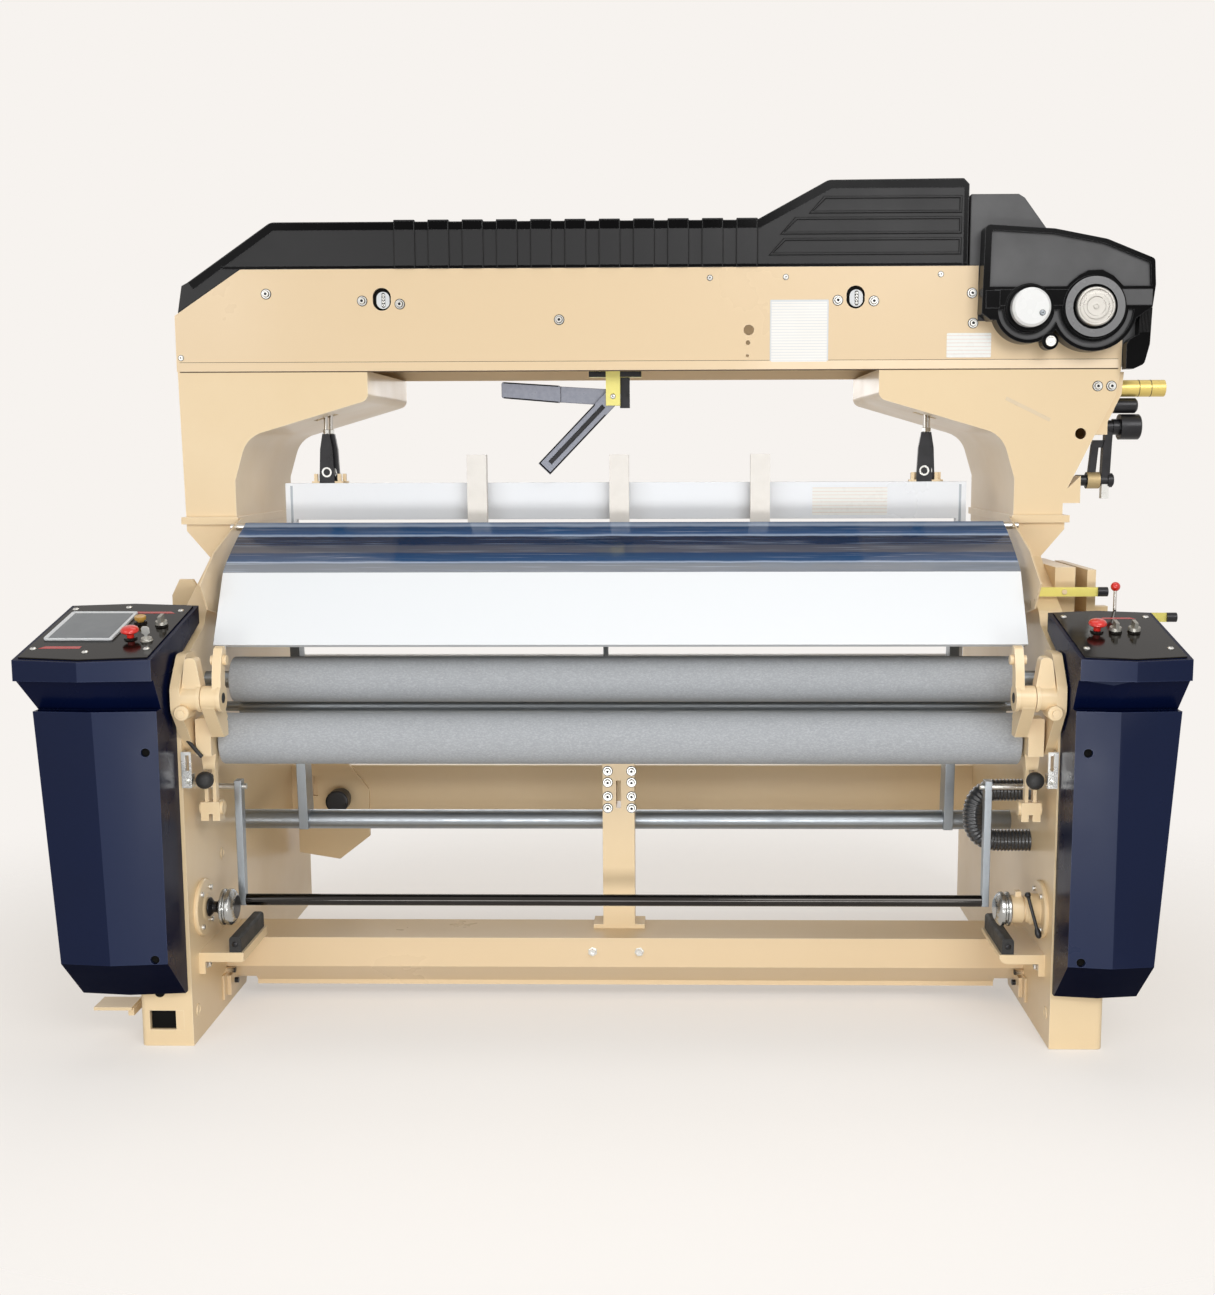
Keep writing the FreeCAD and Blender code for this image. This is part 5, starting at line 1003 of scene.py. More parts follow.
@dataclass
class Dobby:
    """Dobby cases, hand disc, white cap and the bright screw between the two rounds."""

    cap: Pair = (995.0, 1726.0)
    cap_face: float = 362.0
    disc: Pair = (1153.0, 1728.0)
    disc_back: float = 393.5
    lug: Pair = (1048.0, 1646.0)
    lug_face: float = 388.0
    corner: Pair = (1272.0, 416.0)

    def build(self) -> None:
        """Finish the cases and fit cap, disc and screw."""
        x, z = self.disc
        dress("dobby_front_case", RIM_ABS, 2.2,
              Zone(WHITE_CAP, (946, 300, 1676), (1044, 389.5, 1776)),
              Zone(FIELD_ABS, (880, 404, 1600), (1320, 406, 1930)),
              Zone(COLLAR_ABS, (x - 78, 383, z - 78), (x + 78, 384.6, z + 78)),
              Zone(FIELD_ABS, (x - 70, 392.5, z), (1310, 394.5, z + 42)))
        dress("dobby_rear_case", FIELD_ABS, 3.0)
        self.hand_disc()
        self.bright_parts()
        self.ribbed_corner()

    def hand_disc(self) -> None:
        """Aluminium disc with a raised rim, a dished face and a centre screw."""
        x, z = self.disc
        disc = turned("hand_disc_finished", spot(x, self.disc_back, z), FRONTWARDS, (
            (0, 45), (1, 47), (16.5, 47), (19.5, 44.5), (19.5, 41), (17.6, 39), (17.6, 31.5),
            (18.8, 30.5), (18.8, 23.5), (17.4, 22), (17.4, 7), (19.6, 6.6), (19.6, 4.4),
            (18.0, 4)), 72)
        fit(disc, DISC_FACE, "hand_disc", 0.4, ("hand_disc",))

    def bright_parts(self) -> None:
        """A small screw on the white cap, and the bright one in its lug."""
        x, z = self.cap
        drive_in("cap_screw", Screw.SMALL, [spot(x + 25, self.cap_face, z - 14)],
                 finish=GREY_STEEL)
        x, z = self.lug
        screw = turned("lug_screw", spot(x, self.lug_face, z), FRONTWARDS, (
            (0, 13), (4, 13), (5, 12), (5, 10), (3.6, 9), (3.6, 4), (4.6, 3)), 40)
        fit(screw, BRIGHT_ZINC, edge=0.4)

    def ribbed_corner(self) -> None:
        """Fins on the end piece below the case's right end."""
        x, station = self.corner
        fins = [bar("fin", (x + 3.4 * number, station - 1.6, 1668),
                    (x + 3.4 * number + 1.5, station + 1, 1724)) for number in range(8)]
        fit(merge("ribbed_corner_piece", fins), COVER_ABS, edge=0.4)


@dataclass
class HealdLift:
    """Heald frames, lifting rods, jack levers and pull rods: the lifting mechanism."""

    station: float = 566.0
    pitch: float = 16.0
    rail_top: float = 1303.0
    rod_place: float = 775.0
    rod_shift: float = 10.0
    half: float = 885.0

    def build(self) -> None:
        """Finish both frames with all that lifts them."""
        for number in (1, 2):
            station = self.station + (number - 1) * self.pitch
            rods = [side * self.rod_place + (number - 1) * self.rod_shift for side in (-1, 1)]
            body = body_of("heald_frame_%d" % number)
            dress("heald_frame_%d" % number, ANODISED, 0.8)
            dress("lift_rods_%d" % number, BLACK_STEEL, 1.2,
                  Zone(CHROME, (-900, 500, 1431), (900, 700, 1700)))
            for side in ("left", "right"):
                dress("jack_lever_%s_%d" % (side, number), GREY_STEEL, 0.8)
            dress("pull_rod_%d" % number, BRIGHT_ZINC, 0.6)
            fit(merge("rod_end_rings_%d" % number, self.rod_ends(rods, station)),
                BRIGHT_ZINC, body, 0.4)
            if number == 1:
                fit(merge("stile_grooves", self.grooves(station)), GREY_STEEL, body, 0.2)
            fit(merge("rod_carriers_%d" % number, self.carriers(rods, station)),
                CREAM, body, 1.0)
        label = cut_plate("heald_label", rounded_box(194, 72, 3), 0.5,
                          before(584, self.station - 5.9, 1253))
        fit(label, LABEL, body_of("heald_frame_1"), 0.1)

    @staticmethod
    def rod_ends(rods: Sequence[float], station: float) -> list[Piece]:
        """Pin rings and lock nuts on the forged ends of the rods, given by their X."""
        pieces = []
        for x in rods:
            pieces.append(turned("ring", spot(x, station - 6, 1331), FRONTWARDS, (
                (0, 13), (1.2, 13), (1.2, 9), (0.4, 8), (0.4, 5), (0.0, 4)), 32))
            pieces.append(turned("nut", spot(x, station, 1431), UPWARDS, (
                (0, 6.5), (0, 8.6), (9, 8.6), (10, 7.5), (10, 6)), 6))
        return pieces

    def grooves(self, station: float) -> list[Piece]:
        """The groove down each end stile of the front frame."""
        return [bar("groove", (side * (self.half - 16) - 3, station - 6.6, 1200),
                    (side * (self.half - 16) + 3, station - 5.8, 1296)) for side in (-1, 1)]

    def carriers(self, rods: Sequence[float], station: float) -> list[Piece]:
        """The small cream carriers of the rods on the top rail."""
        return [bar("carrier", (x + left, station - half, self.rail_top),
                    (x + right, station + half, self.rail_top + height))
                for x in rods for left, right, half, height in (
                    (-34, -25, 5.5, 24), (27, 36, 5.5, 24), (-40, 42, 5.8, 5))]


@dataclass
class Rollers:
    """Emery-covered take-up and press rollers with their guide and back-rest rollers."""

    half: float = 930.0
    take_up: Point = (205.0, 840.0, 55.0)
    press: Point = (110.0, 714.0, 60.0)

    def build(self) -> None:
        """Turn the covered rollers anew, with a step at each cover's end."""
        self.covered("take_up_roller", self.take_up, 20.0, INNER + 28)
        self.covered("press_roller", self.press, 15.0, self.half + 38)
        dress("guide_roller", GREY_STEEL, 0.8)
        dress("back_rest_roller", CHROME, 1.0)

    def covered(self, node: str, place: Point, journal: float, end: float) -> None:
        """One covered roller, its journals and the bright rings at its ends.

        Args:
            node: the CAD node it stands for.
            place: station, height and radius.
            journal: radius of the journals.
            end: where the journals end, from the middle.
        """
        station, height, radius = place
        left, right = end - self.half, end + self.half
        steps = ((0, radius - 9), (1.5, radius - 8), (1.5, radius - 4), (0, radius - 3),
                 (0, radius - 1.4), (2, radius))
        roller = turned(node + "_finished", spot(-end, station, height), RIGHTWARDS, (
            (0, journal - 1), (1, journal), (left, journal),
            *((left + inset, size) for inset, size in steps),
            *((right - inset, size) for inset, size in steps[::-1]),
            (right, journal), (2 * end - 1, journal), (2 * end, journal - 1)), 96)
        fit(roller, EMERY, body_of(node), 0.0, (node,))
        roller.data.materials.append(GREY_STEEL.material())
        for face in roller.data.polygons:
            reach = math.hypot(face.center.y - (FOOT_FRONT + station) * MM,
                               face.center.z - height * MM)
            face.material_index = int(reach < (radius - 3.5) * MM)


@dataclass
class RollerStands:
    """Brackets on the walls, press arms, their knobs, springs and slotted plates."""

    pivot: Pair = (-35.0, 834.0)

    def build(self) -> None:
        """Finish both stands."""
        dress("roller_brackets", CREAM, 3.0, *on_both_sides(
            Zone(BRIGHT_ZINC, (-999, -8, 619), (-975, 21, 705)),
            Zone(BLACK_STEEL, (-921, -50, 820), (-886, -20, 848))))
        dress("press_arms", CREAM, 3.0, *on_both_sides(
            Zone(RUBBER, (-976, -6, 610), (-930, 48, 658))))
        self.pivot_details()

    def pivot_details(self) -> None:
        """Dark bores with snap rings at the tips of both pivots, and a stub of cable."""
        rings = [turned("ring", spot(side * (INNER - 112), *self.pivot), inwards(side), (
            (-1, 11.6), (1.0, 11.6), (1.0, 8.5), (-0.5, 7.5), (-0.5, 3.0)), 32)
            for side in (-1, 1)]
        fit(merge("pivot_rings", rings), BLACK_STEEL, edge=0.3)
        low, high = spot(-955, 10, 689), spot(-996, 10, 739)
        cable = turned("stop_cable", low, high - low, (
            (0, 3.5), (1, 4.5), ((high - low).length / MM, 4.5)), 20)
        fit(cable, RUBBER, edge=0.3)


@dataclass
class ClothGuide:
    """Chromed tube on its two flat bars."""

    def build(self) -> None:
        """Finish the tube and its bars."""
        dress("guide_tube", CHROME_WITH_PAINTED_REFLECTION, 1.0)
        dress("guide_arms", GREY_STEEL, 1.5)


@dataclass
class Chucks:
    """Cloth-roll chucks: flanges with their bolts and turned steel discs."""

    station: float = 101.0
    height: float = 306.0

    def build(self) -> None:
        """Finish the housings with their flange bolts, and the discs."""
        dress("chuck_housings", CREAM, 2.0, *self.bolt_zones())
        dress("chuck_left", CHUCK_STEEL, 0.8,
              Zone(BLACK_STEEL, (-990, 70, 275), (-950.5, 132, 337)),
              Zone(BLACK_STEEL, (-915.6, 72, 277), (-914, 130, 335)))
        dress("chuck_right", CHUCK_STEEL, 0.8)
        self.clamp_lever()

    def bolt_zones(self) -> Iterator[Zone]:
        """The heads of the four bolts on each flange."""
        for side in (-1, 1):
            low, high = sorted((side * (INNER - 10.5), side * (INNER - 15.5)))
            for across in (-33.4, 33.4):
                for up in (-39.8, 39.8):
                    y, z = self.station + across, self.height + up
                    yield Zone(BRIGHT_ZINC, (low, y - 7, z - 7), (high, y + 7, z + 7))

    def clamp_lever(self) -> None:
        """Black clamp lever across the right housing, with a ball at each end."""
        lever = turned("clamp_lever", spot(953, self.station - 40, self.height + 52),
                       (0.25, -0.25, -1.0), (
                           (0, 3), (1.5, 6), (8, 7.5), (12, 5), (16, 4), (84, 4), (88, 6),
                           (98, 8), (106, 6), (109, 2.5)), 24)
        fit(lever, BLACK_STEEL, edge=0.0)


@dataclass
class Bumpers:
    """Low angle brackets with their rubber bars."""

    def build(self) -> None:
        """Finish brackets and rubber."""
        dress("bumpers", CREAM, 1.5, *on_both_sides(
            Zone(RUBBER, (-1000, 0, 206.5), (-800, 400, 260))))
        drive_in("rubber_screws", Screw.BUTTON,
                 [spot(side * (INNER - 86), 64, 225) for side in (-1, 1)], finish=BLACK_STEEL)
        for name, side in SIDES:
            drive_in("bumper_bolts_" + name, Screw.HEX,
                     [spot(side * (INNER - 9), station, 170) for station in (90, 210)],
                     inwards(side))


@dataclass
class Hood:
    """White front panel, filmed window and end shields."""

    half: float = 950.0

    def build(self) -> None:
        """Finish panel, window and shields, and hang the tabs under the panel."""
        dress("hood_panel", WHITE_SHEET, 1.0,
              Zone(CHROME, (-1000, 380, 1180), (1000, 440, 1212)))
        dress("hood_window", WINDOW, 0.6)
        dress("end_shields", CREAM_SHEET, 1.0)
        tabs = [bar("tab", (side * (self.half - 18) - 9, 116, 924),
                    (side * (self.half - 18) + 9, 119, 936)) for side in (-1, 1)]
        fit(merge("hood_tabs", tabs), WHITE_SHEET, body_of("hood_panel"), 0.6)


@dataclass
class PanelTop:
    """The sloping top of a console: its own flat frame, measured from its front edge."""

    front_station: float
    front_height: float
    back_station: float
    back_height: float
    thick: float = 3.0

    def lean(self) -> float:
        """How far the panel leans back, in radians."""
        return math.atan2(self.back_height - self.front_height,
                          self.back_station - self.front_station)

    def normal(self) -> Vector:
        """The direction that the panel faces."""
        return self.matrix(0, 0).to_3x3() @ Vector((0, 0, 1))

    def matrix(self, x: float, station: float, lift: float = 0.0) -> Matrix:
        """Stand a piece on the panel.

        Args:
            x: the piece's X in mm.
            station: its distance behind the front of the feet.
            lift: how far it stands off the panel, in mm.

        Returns:
            The matrix that takes a piece made on the XY plane to its place.
        """
        height = (self.front_height + (station - self.front_station)
                  * math.tan(self.lean()) + self.thick)
        turn = Matrix.Rotation(self.lean(), 4, "X")
        place = spot(x, station, height) + turn @ Vector((0, 0, lift * MM))
        return Matrix.Translation(place) @ turn


@dataclass
class Consoles:
    """Both consoles with their panels, screen, buttons, keys and screws."""

    left: PanelTop = field(default_factory=lambda: PanelTop(-150, 936, 195, 1020))
    right: PanelTop = field(default_factory=lambda: PanelTop(-150, 936, 150, 1005))

    def build(self) -> None:
        """Finish the cabinets and put every control on its panel."""
        for (name, side), ridge in zip(SIDES, (1147, 1096)):
            dress("console_" + name, NAVY, 2.0, *self.painted_light_facets(side, ridge))
        dress("panels", PANEL_FOIL, 0.8)
        self.screen()
        self.stripes()
        self.screws()
        self.buttons()
        for node in ("selector_left", "selector_right_1", "selector_right_2"):
            dress(node, SILVER_KNOB, 0.8)
        self.key_switch()
        self.hole_rings()

    @staticmethod
    def painted_light_facets(side: int, ridge: float) -> Iterator[Zone]:
        """The front faces of a cabinet, each given a lit or shaded copy of the coat as painted
        light: its foot in painted shade, and the faces on each side of its ridge in painted
        light.
        """
        low, high = sorted((side * (INNER + 12), side * (ridge - 3)))
        near, far = sorted((side * (ridge - 3), side * (INNER + 290)))
        yield Zone(NAVY_PAINTED_SHADE, (min(low, near) - 40, -175, 0), (max(high, far) + 40, -60, 243))
        yield Zone(NAVY_PAINTED_HALF_LIGHT, (near, -175, 245), (far, -60, 790))
        yield Zone(NAVY_PAINTED_HALF_LIGHT, (near, -175, 885), (far, -120, 938))
        yield Zone(NAVY_PAINTED_LIGHT, (low, -175, 245), (high, -60, 790))
        yield Zone(NAVY_PAINTED_LIGHT, (low - 20, -175, 885), (high + 20, -120, 938))

    def screen(self) -> None:
        """White bezel with round corners round a glass screen."""
        bezel = cut_plate("screen_bezel", rounded_box(156, 180, 7), 6,
                          self.left.matrix(-1208, 45))
        normal = self.left.normal()
        with edit_mode(bezel):
            choose(bezel, lambda middle, facing_to: facing_to.dot(normal) > 0.95)
            bpy.ops.mesh.inset(thickness=9 * MM, depth=0)
            bpy.ops.transform.translate(value=tuple(normal * -2.5 * MM))
        fit(bezel, BEZEL, "frame", 1.2, ("touch_screen",))
        glass = cut_plate("screen_glass", rounded_box(137, 161, 2), 1.2,
                          self.left.matrix(-1208, 45, 3.3))
        fit(glass, SCREEN, edge=0.3)

    def stripes(self) -> None:
        """Red printed stripes of the foils."""
        pieces = [cut_plate("stripe", corners, 0.4, place) for corners, place in (
            (((-57, -6), (57, -6), (44, 6), (-57, 6)), self.left.matrix(-1101, 138)),
            (((-46, -7), (46, -7), (46, 7), (-36, 7)), self.left.matrix(-1231, -84)),
            (((-42, -5), (42, -5), (32, 5), (-32, 5)), self.right.matrix(1150, 102)))]
        fit(merge("panel_stripes", pieces), RED_PRINT, edge=0.1)

    def screws(self) -> None:
        """Bright cap nuts at the corners of both foils."""
        left = ((-1290, 160), (-1167, 172), (-1036, 150), (-1288, -92), (-1165, -112),
                (-1036, -92))
        right = ((1030, 112), (1218, 110), (1212, -92), (1030, -92))
        for name, top, places in (("left", self.left, left), ("right", self.right, right)):
            drive_in("panel_screws_" + name, Screw.BUTTON,
                     [top.matrix(x, station).translation for x, station in places],
                     top.normal())

    def buttons(self) -> None:
        """Mushroom-headed emergency stops, and the amber start button with its dish."""
        mushroom = ((-20, 7.5), (-20, 8), (14, 8), (14, 13), (15.5, 17), (18, 20), (22, 20),
                    (26, 17.5), (28.6, 13), (29.8, 7), (30, 3))
        dished = ((-18, 7.5), (-18, 8), (8, 8), (8, 12), (9, 13), (15.5, 13), (17, 11.5),
                  (16.4, 8), (16.0, 3))
        for node, form, steps, sides, place, finish in (
                ("emergency_stop_left", "_head", mushroom, 48,
                 self.left.matrix(-1092, -30), RED_CAP),
                ("emergency_stop_right", "_head", mushroom, 48,
                 self.right.matrix(1080, 13), RED_CAP),
                ("start_button", "_cap", dished, 40, self.left.matrix(-1104, 71), AMBER_CAP)):
            cap = turned(node + form, Vector((0, 0, 0)), UPWARDS, steps, sides)
            fit(settle(cap, place), finish, body_of(node), 0.3, (node,))

    def key_switch(self) -> None:
        """Key switch in front of the selector, with its flat key in it."""
        barrel = turned("key_switch", Vector((0, 0, 0)), UPWARDS, (
            (0, 14), (2, 14), (3, 12.5), (7, 12), (7, 8), (6, 7)), 36)
        fit(settle(barrel, self.left.matrix(-1052, -42)), SILVER_KNOB, edge=0.4)
        blade = cut_plate("switch_key", (
            (-2, -4), (2, -4), (3.5, 8), (9, 12), (9, 24), (5, 28), (-5, 28), (-9, 24),
            (-9, 12), (-3.5, 8)), 2.0,
            self.left.matrix(-1052, -41, 6) @ Matrix.Rotation(math.pi / 2, 4, "X"))
        fit(blade, BRIGHT_ZINC, edge=0.4)

    @staticmethod
    def hole_rings() -> None:
        """Black discs of painted shade in the access holes of the cabinets, with grey rims."""
        for name, finish, edge, steps in (
                ("access_hole_shade_discs", SHADE, 0.3,
                 ((0, 10.2), (1.5, 10.2), (1.5, 6), (0.6, 5))),
                ("access_hole_rims", STAY_ZINC, 0.0,
                 ((0, 12.2), (2.4, 12.2), (2.8, 11.6), (2.8, 10.6), (-0.5, 10.3)))):
            rounds = [turned("round", spot(x, -120, z), FRONTWARDS, steps, 32)
                      for x in (-1036, 1031) for z in (727, 254)]
            fit(merge(name, rounds), finish, edge=edge)


@dataclass
class Stay:
    """Folding stay under the beam."""

    pin: Pair = (-27.0, 1521.0)
    front: float = 498.0
    beam_bottom: float = 1583.5
    slope: float = 226.0    # the way the arm hangs from its pin, in degrees from +X

    def build(self) -> None:
        """Finish the yellow block, the handle bar and the grooved arm."""
        dress("stay_bracket", STAY_YELLOW, 1.0,
              Zone(STAY_ZINC, (-312, 515, 1490), (-44.2, 540, 1568)),
              Zone(BLACK_STEEL, (-7.8, 516.5, 1491), (17, 540, 1583)))
        # The faces in the arm's groove take black steel: painted shade in the recess.
        dress("stay_arm", STAY_ZINC, 1.0,
              Zone(BLACK_STEEL, (-190, 506, 1340), (-30, 510.5, 1520)))
        x, z = self.pin
        plates = [bar("plate", (x + low, self.front - 0.6, z + 48.2),
                      (x + high, self.front + 0.5, self.beam_bottom))
                  for low, high in ((-60, -17), (19, 73))]
        fit(merge("stay_foot_plates", plates), BLACK_STEEL, edge=0.2)
        drive_in("stay_pin", Screw.BUTTON, [spot(x + 1, self.front, z)])
        self.outlines()

    def outlines(self) -> None:
        """Thin black strips of painted shade along the edges of the arm and of the handle bar.
        """
        x, z = self.pin
        along = before(x, self.front + 5.5, z, math.radians(self.slope))
        level = before(x, self.front + 18, z)
        arm = [((46, y - 1.6), (252, y - 1.6), (252, y + 1.6), (46, y + 1.6))
               for y in (-18.6, 18.6)]
        arm.append(((249, -18), (252.5, -18), (252.5, 18), (249, 18)))
        handle = (((-278, 37.3), (-139, 28.1), (-139, 25.1), (-278, 34.3)),
                  ((-278, -3.2), (-139, -15.2), (-139, -12.2), (-278, -0.2)))
        for name, outlines, thick, place, body in (
                ("stay_arm_edge_shade", arm, 0.7, along, body_of("stay_arm")),
                ("stay_handle_edge_shade", handle, 0.6, level, "frame")):
            edges = [cut_plate("edge", corners, thick, place) for corners in outlines]
            fit(merge(name, edges), SHADE, body, edge=0.1)


@dataclass
class DriveEnd:
    """Yellow tube, drum, hanging links, hand levers and pedal at the right end."""

    station: float = 500.0

    def build(self) -> None:
        """Finish the bearing, the links, the three levers and the pedal."""
        dress("drive_bearing", BLACK_STEEL, 1.0,
              Zone(BRASS, (1251, 470, 1514), (1370, 530, 1560)),
              Zone(CREAM, (1178, 455, 1418), (1250.5, 545, 1577)))
        dress("drive_links", BLACK_STEEL, 1.0,
              Zone(BRONZE, (1175, 478, 1284), (1207.3, 522, 1328)),
              Zone(BRIGHT_ZINC, (1212, 488, 1259), (1232, 512, 1291)))
        dress("release_lever_upper", YELLOW, 1.0,
              Zone(BLACK_STEEL, (1146, 240, 1000), (1180, 290, 1080)))
        dress("release_lever_lower", YELLOW, 1.0,
              Zone(BLACK_STEEL, (1313, 240, 950), (1345, 290, 1010)))
        dress("ball_lever", CHROME, 0.4,
              Zone(RED_CAP, (1140, 100, 1052.5), (1190, 250, 1080)))
        dress("pedal", CREAM, 1.2)
        rings = [turned("ring", spot(x, self.station, 1536), RIGHTWARDS, (
            (0, 20.5), (0.2, 21.4), (1.8, 21.4), (2.0, 20.5)), 48) for x in (1296, 1326)]
        fit(merge("tube_rings", rings), BLACK_STEEL, edge=0.0)


@dataclass
class Hose:
    """Suction hose: a ribbed tube bent like a U, with both ends in the right wall."""

    radius: float = 27.0
    root: float = 24.0
    bore: float = 22.0
    pitch: float = 8.5
    sides: int = 40
    route: tuple[Point, ...] = (
        (999, 250, 559.5), (966, 250, 559.5), (933, 250, 559.5), (899, 250, 559.0),
        (871, 250, 541.0), (862, 250, 513.0), (862, 250, 480.0), (871, 250, 452.0),
        (899, 250, 434.0), (933, 250, 433.5), (966, 250, 433.5), (999, 250, 433.5))

    def build(self) -> None:
        """Draw the ribs along the route's own smooth line."""
        line = self.line()
        hose = self.ribbed(line)
        hose.data.materials.clear()
        hose.data.materials.append(HOSE_PVC.material())
        take(hose)
        bpy.ops.object.shade_smooth()
        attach(hose, "frame")
        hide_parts("suction_hose")

    def line(self) -> list[Vector]:
        """Points on the NURBS spline through the route, evenly spaced at a quarter rib."""
        curve = bpy.data.curves.new("hose_route", "CURVE")
        curve.dimensions = "3D"
        curve.resolution_u = 24
        spline = curve.splines.new("NURBS")
        spline.points.add(len(self.route) - 1)
        for point, (x, station, z) in zip(spline.points, self.route):
            point.co = (*spot(x, station, z), 1.0)
        spline.order_u = 3
        spline.use_endpoint_u = True
        guide = into_scene("hose_route", curve)
        mesh = bpy.data.meshes.new_from_object(guide)
        raw = [vertex.co.copy() for vertex in mesh.vertices]
        bpy.data.objects.remove(guide)
        return self.spaced(raw, self.pitch / 4 * MM)

    @staticmethod
    def spaced(raw: Sequence[Vector], step: float) -> list[Vector]:
        """The same line with evenly spaced points."""
        lengths = [0.0]
        for a, b in zip(raw, raw[1:]):
            lengths.append(lengths[-1] + (b - a).length)
        count = round(lengths[-1] / step)
        points, index = [], 0
        for number in range(count + 1):
            wanted = lengths[-1] * number / count
            while index < len(lengths) - 2 and lengths[index + 1] < wanted:
                index += 1
            run = max(lengths[index + 1] - lengths[index], 1e-9)
            share = min(max((wanted - lengths[index]) / run, 0.0), 1.0)
            points.append(raw[index].lerp(raw[index + 1], share))
        return points

    def ribbed(self, line: Sequence[Vector]) -> Piece:
        """A tube whose radius swells at each rib, with its bore and closed wall ends."""
        mesh = bmesh.new()
        swell = (self.root, self.radius - 1.0, self.radius, self.radius - 1.0)
        outer = [self.ring(mesh, line, number, swell[number % 4] * MM)
                 for number in range(len(line))]
        inner = [self.ring(mesh, line, number, self.bore * MM) for number in range(len(line))]
        bands = [*zip(outer, outer[1:]), *zip(inner[1:], inner), (inner[0], outer[0]),
                 (outer[-1], inner[-1])]
        for a, b in bands:
            for k in range(self.sides):
                after = (k + 1) % self.sides
                mesh.faces.new([a[k], a[after], b[after], b[k]])
        bmesh.ops.recalc_face_normals(mesh, faces=mesh.faces)
        data = bpy.data.meshes.new("suction_hose_ribbed")
        mesh.to_mesh(data)
        mesh.free()
        return into_scene("suction_hose_ribbed", data)

    def ring(self, mesh: bmesh.types.BMesh, line: Sequence[Vector], number: int,
             radius: float) -> list[bmesh.types.BMVert]:
        """One ring of vertices across the line, its own X axis along world Y."""
        before, after = line[max(number - 1, 0)], line[min(number + 1, len(line) - 1)]
        along = (after - before).normalized()
        first = Vector((0, 1, 0))
        second = along.cross(first).normalized()
        angles = [2 * math.pi * k / self.sides for k in range(self.sides)]
        return [mesh.verts.new(line[number] + radius * (
            math.cos(angle) * first + math.sin(angle) * second)) for angle in angles]


@dataclass
class Sley:
    """Sley beam, swords and rocking shaft with the reed."""

    def build(self) -> None:
        """Finish the sley."""
        dress("sley", GREY_STEEL, 1.5,
              Zone(REED_STEEL, (-860, 400, 1031), (860, 480, 1150)))


# ------------------------------------------------------------------ studio

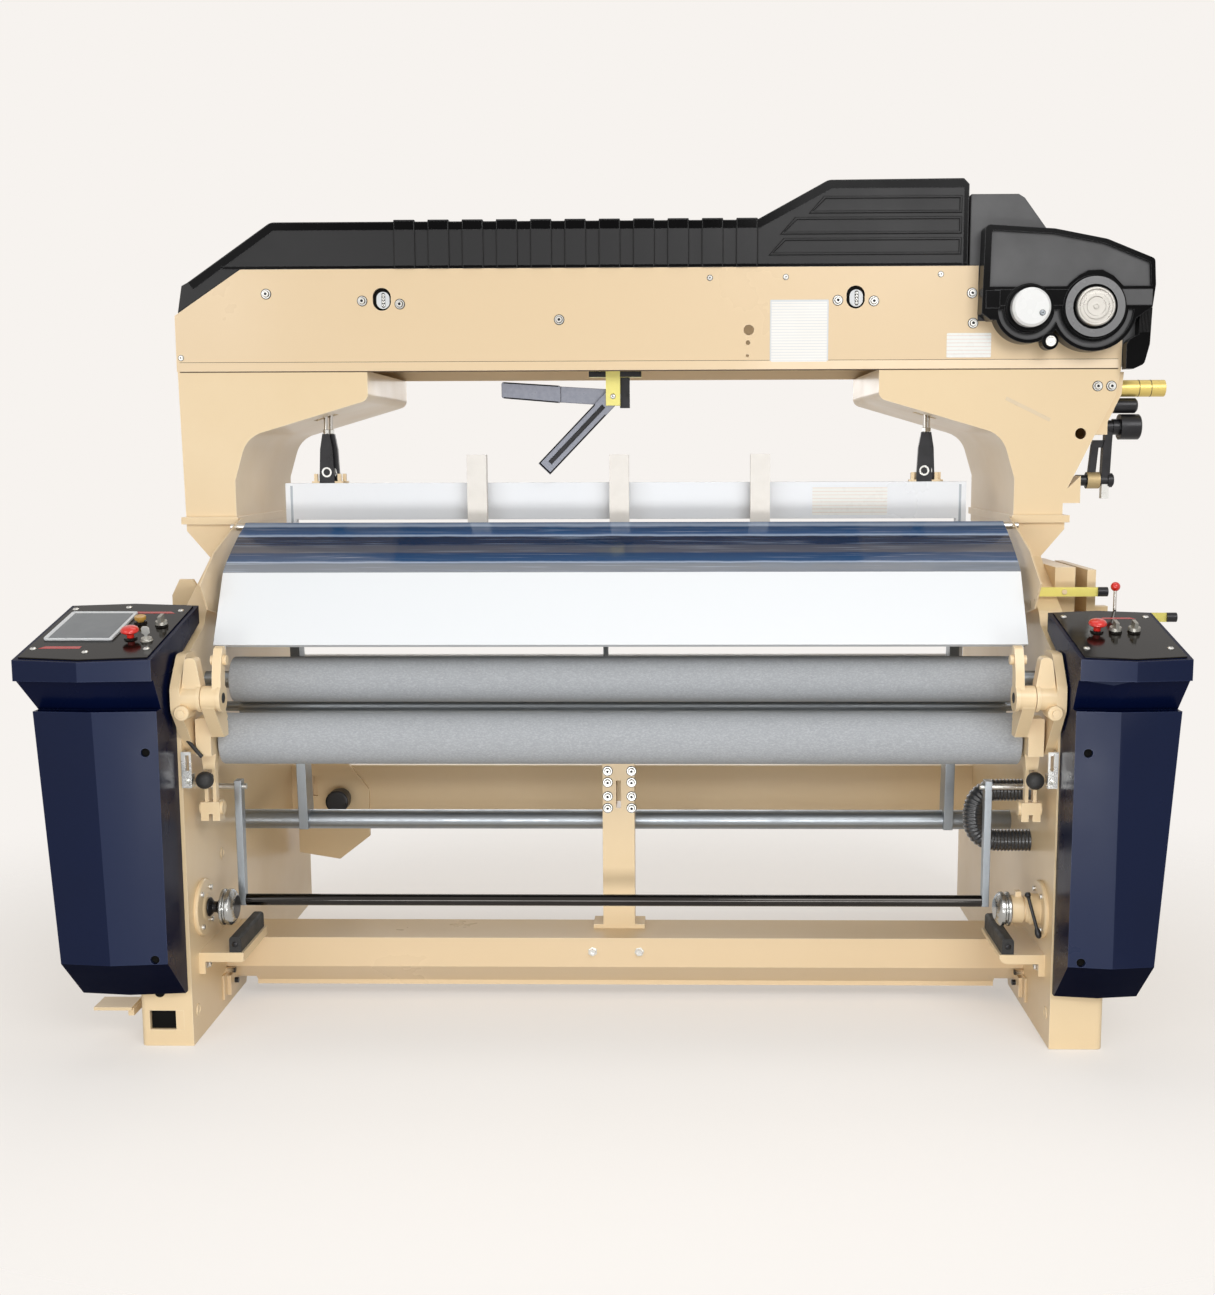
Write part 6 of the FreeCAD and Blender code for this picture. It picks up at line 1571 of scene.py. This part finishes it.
@dataclass
class Studio:
    """Camera, lamps, world and floor."""

    camera_place: Point = (0.134, -3.930, 1.381)
    yaw: float = 1.05
    pitch: float = 7.43
    roll: float = 0.18
    sensor_mm: float = 36.0
    focal_px: float = 1500.0
    centre_px: float = 649.0
    width_px: float = 1215.0
    height_px: float = 1295.0
    backdrop: str = "#F7F3EF"
    floor_tone: str = "#C6C2BD"
    floor_lift: float = 0.45    # glow that takes the floor up to the backdrop's tone
    floor_radius: float = 9.0
    floor_fade: Pair = (0.9, 2.3)   # it fades out between these distances, in metres
    soft_light: float = 0.38

    def build(self) -> None:
        """Set up the studio."""
        self.camera()
        self.world()
        self.floor()
        for name, place, target, size, power in (
                ("key", (1.9, -4.6, 3.6), (0.0, 0.0, 0.9), (3.0, 2.2), 120),
                ("fill", (-3.2, -4.2, 2.2), (-0.2, 0.0, 0.9), (2.6, 2.6), 44),
                ("low", (0.0, -3.5, 0.32), (0.0, 0.0, 0.3), (2.8, 0.6), 46),
                ("top", (0.2, 0.4, 4.6), (0.0, 0.0, 1.0), (3.4, 2.2), 42),
                ("back", (-0.6, 4.8, 2.6), (0.0, 0.0, 0.9), (3.0, 2.0), 46)):
            self.lamp(name + "_softbox", place, target, size, power)
        bpy.context.scene.view_settings.view_transform = "Standard"

    def camera(self) -> None:
        """The photograph's camera, from its vanishing points."""
        yaw, pitch, roll = (math.radians(a) for a in (self.yaw, self.pitch, self.roll))
        forward = Vector((-math.sin(yaw) * math.cos(pitch), math.cos(yaw) * math.cos(pitch),
                          -math.sin(pitch)))
        right = Vector((math.cos(yaw), math.sin(yaw), 0))
        up = right.cross(forward)
        across = math.cos(roll) * right - math.sin(roll) * up
        above = math.sin(roll) * right + math.cos(roll) * up
        data = bpy.data.cameras.new("camera")
        data.sensor_width = self.sensor_mm
        data.lens = self.focal_px / self.height_px * self.sensor_mm
        data.shift_x = -(self.centre_px - self.width_px / 2) / self.height_px
        camera = into_scene("camera", data)
        turn = Matrix((across, above, -forward)).transposed().to_4x4()
        camera.matrix_world = Matrix.Translation(Vector(self.camera_place)) @ turn
        bpy.context.scene.camera = camera

    def world(self) -> None:
        """Pale backdrop for the camera, glossy and clear rays; softer light for the rest."""
        world = bpy.data.worlds.new("studio")
        tree = empty_tree(world)
        pale = add_node(tree, "Background", {"Color": linear(self.backdrop)})
        soft = add_node(tree, "Background",
                        {"Color": linear("#FFFFFF"), "Strength": self.soft_light})
        mix = add_node(tree, "MixShader", None,
                       {0: seen_directly(tree), 1: soft.outputs[0], 2: pale.outputs[0]})
        add_node(tree, "OutputWorld", None, {"Surface": mix.outputs[0]})
        bpy.context.scene.world = world

    def floor(self) -> None:
        """A pale floor that keeps the shadow and fades into the backdrop."""
        bpy.ops.object.select_all(action="DESELECT")
        bpy.ops.mesh.primitive_circle_add(vertices=96, radius=self.floor_radius,
                                          fill_type="NGON", location=(0, 0, -0.0005))
        disc = bpy.context.object
        disc.name = "studio_floor"
        settle(disc)
        material = bpy.data.materials.new("pale_studio_paper")
        tree = empty_tree(material)
        squeezed = add_node(tree, "Mapping", {"Scale": (0.72, 1.0, 1.0)},
                            {"Vector": own_place(tree)})
        reach = add_node(tree, "VectorMath", {"operation": "LENGTH"},
                         {0: squeezed.outputs[0]})
        fade = remap(tree, reach.outputs["Value"], *self.floor_fade)
        fade.node.interpolation_type = "SMOOTHSTEP"
        paper = add_node(tree, "BsdfDiffuse", {"Color": linear(self.floor_tone)})
        seen = add_node(tree, "Math", {"operation": "MULTIPLY", 1: self.floor_lift},
                        {0: seen_directly(tree)})
        lift = add_node(tree, "Emission", {"Color": linear(self.backdrop)},
                        {"Strength": seen.outputs[0]})
        lit = add_node(tree, "AddShader", None,
                       {0: paper.outputs[0], 1: lift.outputs[0]})
        clear = add_node(tree, "BsdfTransparent")
        mix = add_node(tree, "MixShader", None,
                       {0: fade, 1: lit.outputs[0], 2: clear.outputs[0]})
        add_node(tree, "OutputMaterial", None, {"Surface": mix.outputs[0]})
        disc.data.materials.append(material)

    @staticmethod
    def lamp(name: str, place: Point, target: Point, size: Pair, power: float) -> None:
        """Hang one softbox.

        Args:
            name: the lamp's name.
            place: where it hangs, in metres.
            target: what it points at.
            size: its width and height in metres.
            power: its power in watts.
        """
        data = bpy.data.lights.new(name, "AREA")
        data.shape = "RECTANGLE"
        data.size, data.size_y = size
        data.energy = power
        lamp = into_scene(name, data)
        direction = Vector(target) - Vector(place)
        lamp.matrix_world = (Matrix.Translation(Vector(place))
                             @ direction.to_track_quat("-Z", "Y").to_matrix().to_4x4())


def main() -> None:
    """Build the looks of the loom, sub-assembly by sub-assembly."""
    logging.basicConfig(level=logging.INFO, format="%(message)s")
    FRAME.update(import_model())
    bpy.ops.object.select_all(action="DESELECT")
    for part in (Studio(), LowerFrame(), Overhead(), Cover(), Dobby(), HealdLift(), Rollers(),
                 RollerStands(), ClothGuide(), Chucks(), Bumpers(), Hood(), Consoles(),
                 Stay(), DriveEnd(), Hose(), Sley()):
        part.build()


if __name__ == "__main__":
    main()
